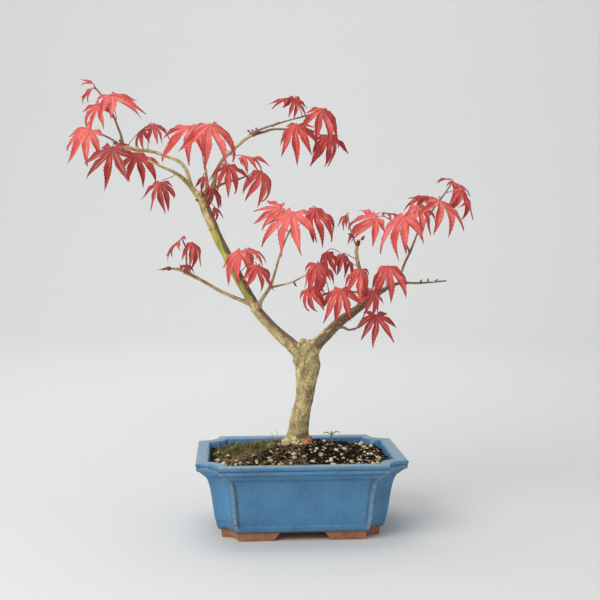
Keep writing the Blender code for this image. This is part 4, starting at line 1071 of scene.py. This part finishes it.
def bark_material():
    """Tan and olive bark, greener on the upper limb, with fissures, rings and lenticels, and
    browner with painted shade on the side away from the light.
    """
    n = Nodes("maple_bark", 0.75, 0.35)
    here = n.place()
    run = n.attribute("bark_place", 1)
    zone = n.attribute("bark_zone")
    green, young, knot = (n.channel(zone, i) for i in range(3))
    shady = n.attribute("bark_zone", 3)
    streaks = n.noise(n.scaled(run, (1.0, 1.0, 0.33)), 1.8, 5.0, 0.65)
    blotch = n.noise(n.scaled(run, (1.0, 1.0, 0.5)), 6.5, 4.0, 0.6)
    fine = n.noise(here, 0.8, 3.0, 0.65)
    rings = n.noise(n.scaled(run, (0.12, 0.12, 1.0)), 1.5, 4.0, 0.6)
    shade = n.blend(n.span(blotch, 0.36, 0.62), (0.36, 0.25, 0.085), (0.86, 0.65, 0.3))
    shade = n.blend(n.span(streaks, 0.52, 0.62, 0.0, 0.9), shade, (0.95, 0.8, 0.5))
    shade = n.blend(n.span(streaks, 0.3, 0.48, 0.9, 0.0), shade, (0.15, 0.1, 0.04))
    shade = n.blend(n.span(n.noise(here, 12.0, 3.0), 0.5, 0.7, 0.0, 0.5), shade, (0.3, 0.29, 0.09))
    warm = n.noise(n.scaled(run, (1.0, 1.0, 0.6)), 4.2, 3.0, 0.6)
    shade = n.blend(n.span(warm, 0.55, 0.68, 0.0, 0.6), shade, (0.4, 0.21, 0.08))
    lime = n.blend(n.span(blotch, 0.35, 0.65), (0.32, 0.34, 0.035), (0.6, 0.6, 0.09))
    lime = n.blend(n.span(streaks, 0.52, 0.75, 0.0, 0.6), lime, (0.6, 0.52, 0.2))
    edge = n.math("ADD", green, n.span(n.noise(here, 9.0, 3.0), 0.3, 0.7, -0.22, 0.22))
    shade = n.blend(n.span(edge, 0.25, 0.85), shade, lime)
    # Darker brown on the side away from the light, partly the bark's own colour and partly painted
    # shade, with a patchy edge.
    patchy = n.span(n.noise(n.scaled(run, (1.0, 1.0, 0.35)), 3.2, 4.0, 0.6), 0.3, 0.7, -0.45, 0.45)
    brown_and_shaded_side = n.span(n.math("ADD", shady, patchy), 0.45, 0.68, 0.0, 0.9)
    brown = n.blend(n.span(fine, 0.35, 0.65), (0.07, 0.034, 0.02), (0.22, 0.12, 0.07))
    shade = n.blend(brown_and_shaded_side, shade, brown)
    twig = n.blend(n.span(blotch, 0.35, 0.65), (0.16, 0.08, 0.05), (0.32, 0.19, 0.11))
    twig = n.blend(n.span(rings, 0.5, 0.75, 0.0, 0.6), twig, (0.3, 0.06, 0.04))
    shade = n.blend(n.span(young, 0.0, 1.0, 0.0, 0.85), shade, twig)
    shade = n.blend(n.span(young, 1.1, 1.8, 0.0, 0.8), shade, (0.74, 0.31, 0.16))
    moss = n.blend(n.span(fine, 0.35, 0.7), (0.16, 0.16, 0.05), (0.72, 0.66, 0.32))
    mossy = n.math("MULTIPLY", knot, n.span(n.noise(here, 4.0, 3.0), 0.35, 0.5))
    shade = n.blend(mossy, shade, moss)
    shade = n.blend(n.span(knot, 1.0, 1.4, 0.0, 0.9), shade, (0.98, 0.82, 0.42))
    shade = n.blend(n.span(rings, 0.6, 0.7, 0.0, 0.7), shade, (0.12, 0.07, 0.035))
    spots = n.noise(n.scaled(run, (1.0, 1.0, 0.7)), 2.6, 3.0, 0.6)
    shade = n.blend(n.span(spots, 0.64, 0.7, 0.0, 0.75), shade, (0.1, 0.045, 0.025))
    lenticels = n.cells(n.scaled(run, (1.0, 1.0, 1.7)), 3.6)
    shade = n.blend(n.span(lenticels, 0.1, 0.17, 0.5, 0.0), shade, (0.6, 0.52, 0.36))
    n.colour(n.blend(n.span(fine, 0.25, 0.75, 0.0, 0.25), shade, (0.5, 0.42, 0.28)))
    n.rough(n.span(blotch, 0.3, 0.7, 0.6, 0.85))
    height = n.math("MULTIPLY", n.math("ADD", streaks, rings), 0.8)
    n.bump(n.math("ADD", height, n.math("MULTIPLY", fine, 0.5)), 1.0, 1.3)
    return n.material


def build_wood():
    """The common skin, and a tube for each twig and for each limb's thin end."""
    material = bark_material()
    skin_mesh = build_skin()
    mark_wood(skin_mesh, True)
    skin_mesh.shade_smooth()
    add_piece("trunk_and_limbs", skin_mesh, material, ["trunk_and_branches"])
    bm = bmesh.new()
    for name in WOOD:
        frames = wood_frames(name, 8)
        if name in THICK:
            if name.startswith("root") or name == "trunk" or frames[-1][1] >= THICK_FROM:
                continue
            frames = frames[len(thick_part(frames)) - 12:]
        else:
            frames = flared(frames)
        tube(bm, frames, 10, knobs)
    twigs = finish_mesh(bm)
    mark_wood(twigs, False)
    add_piece("twigs", twigs, material)


def build_buds():
    """Pointed buds in pairs of scales at the tips and nodes of twigs."""
    bm = bmesh.new()
    for x, y, z, heading, lift, length, radius in BUDS:
        along, across, up = leaf_axes(heading, -lift, 0)
        for side in (-1, 1):
            loops = []
            for i in range(11):
                t = i / 10
                plump = 0.35 + 0.65 * math.sin(math.pi * min(t * 1.25, 1.0) ** 0.8 / 1.25)
                reach = max(radius * plump * (1.0 - t ** 2.6), 0.06)
                apart = side * radius * 0.28 * (1.0 + 1.2 * t)
                middle = Vector((x, y, z)) + along * (length * t) + across * apart
                loops.append([middle + across * math.cos(angle) * reach * 0.62
                              + up * math.sin(angle) * reach for angle in turns(12)])
            skin(bm, loops)
    n = Nodes("maroon_buds", 0.5)
    here = n.place()
    shade = n.blend(n.span(n.noise(here, 2.2, 3.0), 0.3, 0.7),
                    (0.12, 0.012, 0.014), (0.36, 0.05, 0.04))
    n.colour(n.blend(n.span(n.noise(here, 0.7, 2.0), 0.5, 0.8, 0.0, 0.4), shade,
                     (0.45, 0.16, 0.1)))
    n.bump(n.noise(here, 0.8, 2.0), 0.4, 0.3)
    add_piece("leaf_buds", finish_mesh(bm), n.material)


# ------------------------------------------------------------------ leaves

def leaf_axes(heading, pitch, bank):
    """Along, across and up of something turned about Z, tipped down and rolled."""
    turn = Matrix.Identity(3)
    for angle, axis in ((heading, "Z"), (pitch, "Y"), (bank, "X")):
        turn = turn @ Matrix.Rotation(math.radians(angle), 3, axis)
    return turn @ Vector((1, 0, 0)), turn @ Vector((0, 1, 0)), turn @ Vector((0, 0, 1))


def fold_curve(droop, curl, steps=48):
    """(out, down, fold) at even shares of a lobe that folds down more and more."""
    out = down = 0.0
    rows = []
    for i in range(steps + 1):
        t = i / steps
        fold = math.radians(droop * (0.6 + 1.4 * t) + curl * smooth((t - 0.45) / 0.55))
        rows.append((out, down, fold))
        out += math.cos(fold) / steps
        down += math.sin(fold) / steps
    return rows


def on_curve(rows, t):
    """A fold curve's row at a share of its length."""
    place = min(max(t, 0.0), 1.0) * (len(rows) - 1)
    i = min(int(place), len(rows) - 2)
    return tuple(mix(a, b, place - i) for a, b in zip(rows[i], rows[i + 1]))


class Blade:
    """One maple leaf's blade, with its knuckle at the origin, in millimetres."""

    def __init__(self, axes, droop, length, lobes, rng):
        self.axes, self.length, self.rng, self.droop = axes, length, rng, droop
        self.common = fold_curve(droop, 0.0)
        half = LOBES[lobes]
        self.fan = [(-angle, share) for angle, share in reversed(half[1:])] + half
        self.bm = bmesh.new()
        self.uv = {}
        self.gap = math.radians(min(b[0] - a[0] for a, b in zip(self.fan, self.fan[1:])) / 2)

    def heading(self, angle):
        """Direction of a lobe in the blade's plane."""
        along, across, _ = self.axes
        return along * math.cos(angle) + across * math.sin(angle)

    def joined(self, angle, reach, lift):
        """A point of the undivided middle of the blade."""
        out, down, fold = on_curve(self.common, reach / self.length)
        head, up = self.heading(angle), self.axes[2]
        normal = head * math.sin(fold) + up * math.cos(fold)
        return head * (out * self.length) - up * (down * self.length) + normal * lift

    def vertex(self, point, share, across):
        """A vertex, with its share of the lobe's length and its place across as its UV."""
        vert = self.bm.verts.new(point)
        self.uv[vert] = (share, across)
        return vert

    def lobe(self, k):
        """Rows of vertices of one lobe, from the knuckle to its tip."""
        rng = self.rng
        angle, share = math.radians(self.fan[k][0]), self.fan[k][1]
        length = self.length * share * rng.uniform(0.92, 1.07)
        gaps = []
        for side in (-1, 1):
            other = k + side
            if 0 <= other < len(self.fan):
                apart = abs(math.radians(self.fan[other][0]) - angle)
                gaps.append((apart / 2, min(share, self.fan[other][1])))
            else:
                gaps.append((math.radians(27), share))
        own = fold_curve(self.droop * rng.uniform(0.65, 1.4), rng.uniform(-34, 38))
        twist = math.radians(rng.uniform(-38, 38))
        bend = rng.uniform(-0.15, 0.15)
        keel = rng.uniform(0.5, 0.95)
        head = self.heading(angle)
        up = self.axes[2]
        tangent = up.cross(head)
        widest = self.length * LOBE_WIDTH * (0.55 + 0.45 * share) * rng.uniform(0.92, 1.08)
        room = on_curve(own, 0.5)[0] * length * math.sin(self.gap) * 0.97
        widest = min(widest, max(room, 0.6 * widest))
        cuts = [self.length * min(SINUS, 0.42 * low) for _, low in gaps]
        free = TEETH * 2 if self.length > 22 else 10
        inner = 4
        rows = []
        for j in range(1, inner + free):
            row = []
            for c in (-1.0, -0.5, 0.0, 0.5, 1.0):
                side = 0 if c < 0 else 1
                gap, _ = gaps[side]
                cut = cuts[side]
                if j <= inner:
                    reach = cut * j / inner if c else max(cuts) * j / inner
                    half = reach * math.tan(gap)
                    open_share = 0.0
                else:
                    u = (j - inner) / free
                    reach = mix(cut if c else max(cuts), length, u)
                    fall = max(0.0, (u - 0.32) / 0.68)
                    half = mix(cut * math.tan(gap), widest, smooth(u / 0.38))
                    half *= (1.0 - fall) ** 1.05
                    open_share = smooth(u / 0.28)
                    if abs(c) == 1.0 and (j - inner) % 2:
                        half *= 1.13
                        reach += 0.55 * (length - cut) / free
                y = c * half
                lift = keel * abs(y) * mix(0.7, 1.0, open_share)
                flat = math.atan2(y, max(reach, 1e-6))
                far = math.hypot(reach, y) if j <= inner else reach
                point = self.joined(angle + flat, far, lift)
                if open_share > 0.0:
                    t = reach / length
                    out, down, fold = on_curve(own, t)
                    normal = head * math.sin(fold) + up * math.cos(fold)
                    roll = twist * smooth((t - 0.2) / 0.8)
                    wide = tangent * math.cos(roll) + normal * math.sin(roll)
                    high = normal * math.cos(roll) - tangent * math.sin(roll)
                    sway = tangent * (bend * length * smooth((t - 0.2) / 0.8))
                    wave = 0.012 * length * math.sin(9.0 * t + 3.0 * k) * abs(c)
                    own_point = (head * (out * length) - up * (down * length) + wide * y
                                 + high * (lift + wave) + sway)
                    point = point.lerp(own_point, open_share)
                row.append(self.vertex(point, reach / length, c))
            rows.append(row)
        out, down, _ = on_curve(own, 1.0)
        tip = head * (out * length) - up * (down * length) + tangent * (bend * length)
        return rows, self.vertex(tip, 1.0, 0.0)

    def build(self):
        """The bmesh of all lobes, given its thickness."""
        bm = self.bm
        centre = self.vertex(Vector((0, 0, 0)), 0.0, 0.0)
        for k in range(len(self.fan)):
            rows, tip = self.lobe(k)
            for a, b in zip(rows[0], rows[0][1:]):
                bm.faces.new((centre, a, b))
            for low, high in zip(rows, rows[1:]):
                for i in range(4):
                    bm.faces.new((low[i], high[i], high[i + 1], low[i + 1]))
            for a, b in zip(rows[-1], rows[-1][1:]):
                bm.faces.new((a, tip, b))
        layer = bm.loops.layers.uv.new("lobe")
        for face in bm.faces:
            for loop in face.loops:
                loop[layer].uv = self.uv[loop.vert]
        bmesh.ops.remove_doubles(bm, verts=bm.verts, dist=0.02)
        bmesh.ops.recalc_face_normals(bm, faces=bm.faces)
        bmesh.ops.solidify(bm, geom=list(bm.faces), thickness=BLADE_THICKNESS)
        return bm


def branch_spot(name, share):
    """Centre, direction and radius at a place along a branch."""
    points = WOOD[name]
    place = share * (len(points) - 1)
    i = min(int(place), len(points) - 2)
    a, b = Vector(points[i][:3]), Vector(points[i + 1][:3])
    radius = mix(points[i][3], points[i + 1][3], place - i)
    return a.lerp(b, place - i), (b - a).normalized(), radius


def petiole(bm, branch, share, knuckle, axes):
    """Add a stalk from the twig to the blade from behind; returns the blade's vertices."""
    centre, run, radius = branch_spot(branch, share)
    toward = knuckle - centre
    outward = (toward if share >= 1.0 else toward - run * toward.dot(run)).normalized()
    start = centre + outward * radius * 0.4
    reach = (knuckle - start).length
    under = max(0.0, (start - knuckle).normalized().dot(axes[0]) + 0.35)
    first = start + (outward + Vector((0, 0, 0.35))).normalized() * reach * 0.35
    last = knuckle - axes[0] * reach * (0.2 + 0.3 * under) + Vector((0, 0, 0.08 * reach))
    rows = []
    for i in range(15):
        t = i / 14
        point = (start * (1 - t) ** 3 + first * (3 * t * (1 - t) ** 2)
                 + last * (3 * t * t * (1 - t)) + knuckle * t ** 3)
        thick = (PETIOLE_RADIUS + 0.4 * math.exp(-t * reach / 1.6)
                 + 0.2 * math.exp(-(1 - t) * reach / 1.5))
        rows.append((*point, thick))
    for vert in bm.verts:
        vert.co += knuckle
    blade_verts = set(bm.verts)
    tube(bm, path_frames(rows), 8)
    return blade_verts


def leaf_tone(number, rng):
    """0 is pale coral, 1 is dark red."""
    if number in PALE_LEAVES:
        return rng.uniform(0.05, 0.3)
    if number in DARK_LEAVES:
        return rng.uniform(0.75, 1.0)
    return rng.uniform(0.35, 0.65)


def leaf_material():
    """Coral to deep red blades with paler veins and darker, browner margins."""
    n = Nodes("maple_leaf", 0.5, 0.4)
    here = n.place()
    tint = n.attribute("leaf_tint")
    tone, lobe_tone, stalk = (n.channel(tint, i) for i in range(3))
    lobe = n.add("ShaderNodeUVMap", settings={"uv_map": "lobe"})
    share = n.add("ShaderNodeSeparateXYZ", 0, _0=lobe)
    across = n.math("ABSOLUTE", n.add("ShaderNodeSeparateXYZ", 1, _0=lobe))
    cloud = n.noise(here, 9.0, 3.0, 0.55)
    mottle = n.noise(here, 1.6, 4.0, 0.6)
    depth = n.math("ADD", tone, n.span(cloud, 0.25, 0.75, -0.2, 0.2))
    depth = n.math("ADD", depth, n.math("MULTIPLY", n.math("SUBTRACT", lobe_tone, 0.5), 0.35))
    shade = n.blend(n.span(depth, 0.0, 0.5), (0.8, 0.155, 0.135), (0.62, 0.066, 0.06))
    shade = n.blend(n.span(depth, 0.5, 1.0), shade, (0.3, 0.024, 0.026))
    shade = n.blend(n.span(mottle, 0.5, 0.8, 0.0, 0.35), shade, (0.84, 0.24, 0.2))
    shade = n.blend(n.span(mottle, 0.2, 0.45, 0.35, 0.0), shade, (0.42, 0.03, 0.035))
    slant = n.math("SUBTRACT", n.math("MULTIPLY", share, 15.0), n.math("MULTIPLY", across, 2.2))
    side = n.math("ABSOLUTE", n.math("SUBTRACT", n.math("FRACT", slant), 0.5))
    side = n.math("MULTIPLY", n.span(side, 0.0, 0.09, 1.0, 0.0),
                  n.span(across, 0.7, 1.0, 0.6, 0.0))
    middle = n.span(across, 0.04, 0.2, 1.0, 0.0)
    vein = n.math("MAXIMUM", side, middle)
    shade = n.blend(n.math("MULTIPLY", vein, 0.5), shade, (0.84, 0.36, 0.28))
    rim = n.math("MULTIPLY", n.span(across, 0.72, 1.0), n.span(share, 0.2, 0.5, 0.2, 1.0))
    shade = n.blend(n.math("MULTIPLY", rim, 0.55), shade, (0.3, 0.025, 0.03))
    shade = n.blend(n.span(share, 0.7, 1.0, 0.0, 0.6), shade, (0.42, 0.045, 0.04))
    stem = n.blend(n.span(cloud, 0.3, 0.7), (0.42, 0.07, 0.05), (0.5, 0.2, 0.11))
    n.colour(n.blend(stalk, shade, stem))
    n.rough(n.span(mottle, 0.3, 0.7, 0.42, 0.62))
    relief = n.math("SUBTRACT", n.math("MULTIPLY", mottle, 0.5), n.math("MULTIPLY", vein, 1.0))
    n.bump(relief, 0.5, 0.3)
    n.shader.inputs["Subsurface Weight"].default_value = 0.2
    n.shader.inputs["Subsurface Radius"].default_value = (1.0, 0.3, 0.2)
    n.shader.inputs["Subsurface Scale"].default_value = 0.0012
    return n.material


def build_leaves():
    """One piece for each leaf, in place of its plain solid."""
    material = leaf_material()
    for number, row in enumerate(LEAVES, start=1):
        branch, share, place, heading, pitch, bank, droop, length, lobes = row
        rng = random.Random(SEED * 100 + number)
        axes = leaf_axes(heading, pitch, bank)
        blade = Blade(axes, droop, length, 7 if length > SMALL_LEAF else lobes, rng).build()
        blade_verts = petiole(blade, branch, share, Vector(place), axes)
        tone = leaf_tone(number, rng)
        tints = []
        for vert in blade.verts:
            own = vert.co - Vector(place)
            angle = math.atan2(own.dot(axes[1]), own.dot(axes[0]))
            swirl = 0.5 + 0.5 * math.sin(7.0 * angle + number)
            tints.append((tone, swirl, 0.0 if vert in blade_verts else 1.0, 1.0))
        mesh = finish_mesh(blade, 70)
        set_attribute(mesh, "leaf_tint", "FLOAT_COLOR", tints)
        add_piece(f"maple_leaf_{number:02d}", mesh, material, [f"leaf_{number:02d}"])


# ------------------------------------------------------------------ seedling and screens

def build_seedling():
    """A stem with two long seed leaves and two small true leaves."""
    x, y = SEEDLING_PLACE
    ground = soil_height(x, y)
    top = ground + SEEDLING_HEIGHT
    bm = bmesh.new()
    stem = [(x, y, ground - 2, 0.75), (x + 0.3, y, ground + 3, 0.7),
            (x - 0.1, y, ground + 6.5, 0.62), (x, y, top, 0.6)]
    tube(bm, path_frames(curve_through(stem, 6)), 12)
    blades = [(176, 9.5, 2.8, 1.0), (4, 9.5, 3.4, 1.0), (75, 4.0, 3.4, 0.6), (250, 3.4, 3.2, 0.6)]
    for heading, length, rise, width in blades:
        turn = math.radians(heading)
        out = Vector((math.cos(turn), math.sin(turn), 0.0))
        across = Vector((-math.sin(turn), math.cos(turn), 0.0))
        loops = []
        for i in range(13):
            t = i / 12
            lift = rise * math.sin(math.pi * min(t * 0.8, 1.0)) * 1.3
            half = 1.95 * width * math.sin(math.pi * min(0.06 + t * 0.93, 1.0)) ** 0.7
            middle = Vector((x, y, top - 1.0 + lift)) + out * (length * t)
            loops.append([middle + across * half * c + Vector((0, 0, h + 0.35 * abs(c) * half))
                          for c, h in ((-1, 0), (-0.5, -0.22), (0, -0.3), (0.5, -0.22), (1, 0),
                                       (0.5, 0.2), (0, 0.12), (-0.5, 0.2))])
        skin(bm, loops)
    n = Nodes("seedling_leaf", 0.45)
    here = n.place()
    shade = n.blend(n.span(n.noise(here, 3.0), 0.3, 0.7), (0.2, 0.27, 0.1), (0.38, 0.46, 0.22))
    n.colour(n.blend(n.span(n.noise(here, 0.8), 0.5, 0.8, 0.0, 0.5), shade, (0.3, 0.36, 0.16)))
    n.bump(n.noise(here, 0.8), 0.3, 0.2)
    add_piece("seedling_plant", finish_mesh(bm), n.material, ["seedling"])


def screen_material():
    """Dusty black plastic."""
    n = Nodes("screen_plastic", 0.5)
    here = n.place()
    dust = n.noise(here, 4.0, 3.0)
    n.colour(n.blend(n.span(dust, 0.4, 0.75, 0.0, 0.6),
                     (0.012, 0.012, 0.013), (0.06, 0.045, 0.032)))
    n.rough(n.span(dust, 0.3, 0.7, 0.35, 0.7))
    n.bump(n.noise(here, 0.9), 0.3, 0.15)
    return n.material


def paint_kept_nodes(soil, screens):
    """Give the CAD solids that stay in view their materials."""
    for node, material in (("soil", soil), ("drain_screen_left", screens),
                           ("drain_screen_right", screens)):
        obj = frame["nodes"][node]
        for slot in obj.material_slots:
            slot.material = material
        if not obj.material_slots:
            obj.data.materials.append(material)


# ------------------------------------------------------------------ floor, light and camera

def build_stage():
    """A pale floor that curves up far away on every side, with no edge in view."""
    bm = bmesh.new()
    profile = [(0.02, 0.0), (0.6, 0.0), (1.2, 0.0), (FLOOR_FLAT, 0.0)]
    steps = 18
    for i in range(1, steps + 1):
        angle = math.pi / 2 * i / steps
        profile.append((FLOOR_FLAT + FLOOR_CURVE * math.sin(angle),
                        FLOOR_CURVE - FLOOR_CURVE * math.cos(angle)))
    profile.append((FLOOR_FLAT + FLOOR_CURVE, FLOOR_TOP_EDGE))
    loops = [[(reach * math.cos(a), reach * math.sin(a), z) for a in turns(96)]
             for reach, z in profile]
    bm.faces.new(skin_open(bm, loops)[0])
    bmesh.ops.recalc_face_normals(bm, faces=bm.faces)
    mesh = bpy.data.meshes.new("floor")
    bm.to_mesh(mesh)
    bm.free()
    mesh.shade_smooth()
    floor = link_object("floor", mesh)
    n = Nodes("pale_floor", 0.75, 0.3)
    n.colour((0.745, 0.75, 0.745))
    mesh.materials.append(n.material)


def add_light(name, place, target, size, power, colour):
    """A round soft light at a place, aimed at a target; both in metres."""
    data = bpy.data.lights.new(name, "AREA")
    data.shape = "DISK"
    data.size = size
    data.energy = power
    data.color = colour
    light = link_object(name, data)
    light.location = place
    light.rotation_euler = (Vector(target) - Vector(place)).to_track_quat("-Z", "Y").to_euler()


def build_light():
    """Soft key from the upper left, light from above, and one for the far curve of the floor."""
    world = bpy.data.worlds.new("studio")
    world.use_nodes = True
    background = world.node_tree.nodes["Background"]
    background.inputs["Color"].default_value = (0.965, 0.98, 1.0, 1.0)
    background.inputs["Strength"].default_value = 0.47
    bpy.context.scene.world = world
    middle = (0.0, 0.0, 0.2)
    add_light("key", (-1.3, -1.2, 1.5), middle, 1.5, 32.0, (1.0, 0.985, 0.96))
    add_light("top", (-0.2, 0.3, 2.0), middle, 1.2, 10.0, (1.0, 1.0, 1.0))
    add_light("backdrop", (0.0, 1.0, 2.2), (0.1, 3.2, 1.3), 1.2, 26.0, (1.0, 1.0, 1.0))


def build_camera():
    """The photograph's camera, with colours shown as they are."""
    turn = math.radians(CAMERA_TURN)
    across = Vector((math.cos(turn), -math.sin(turn), 0.0))
    ahead = Vector((math.sin(turn), math.cos(turn), 0.0))
    spot = (across * CAMERA_SIDE - ahead * CAMERA_DISTANCE + Vector((0, 0, CAMERA_HEIGHT))) * MM
    pitch = math.radians(CAMERA_PITCH)
    look = ahead * math.cos(pitch) - Vector((0, 0, math.sin(pitch)))
    data = bpy.data.cameras.new("camera")
    data.lens = FOCAL_LENGTH
    data.sensor_width = SENSOR_WIDTH
    data.clip_start = 0.02
    camera = link_object("camera", data)
    camera.location = ORIGIN + spot
    roll = Matrix.Rotation(math.radians(CAMERA_ROLL), 3, "Z")
    camera.rotation_euler = (look.to_track_quat("-Z", "Y").to_matrix() @ roll).to_euler()
    bpy.context.scene.camera = camera
    bpy.context.scene.view_settings.view_transform = "Standard"


build_stage()
build_light()
build_camera()
build_pot()
damp_soil = soil_material()
build_soil(damp_soil)
build_granules()
build_moss()
build_wood()
build_buds()
build_leaves()
build_seedling()
paint_kept_nodes(damp_soil, screen_material())
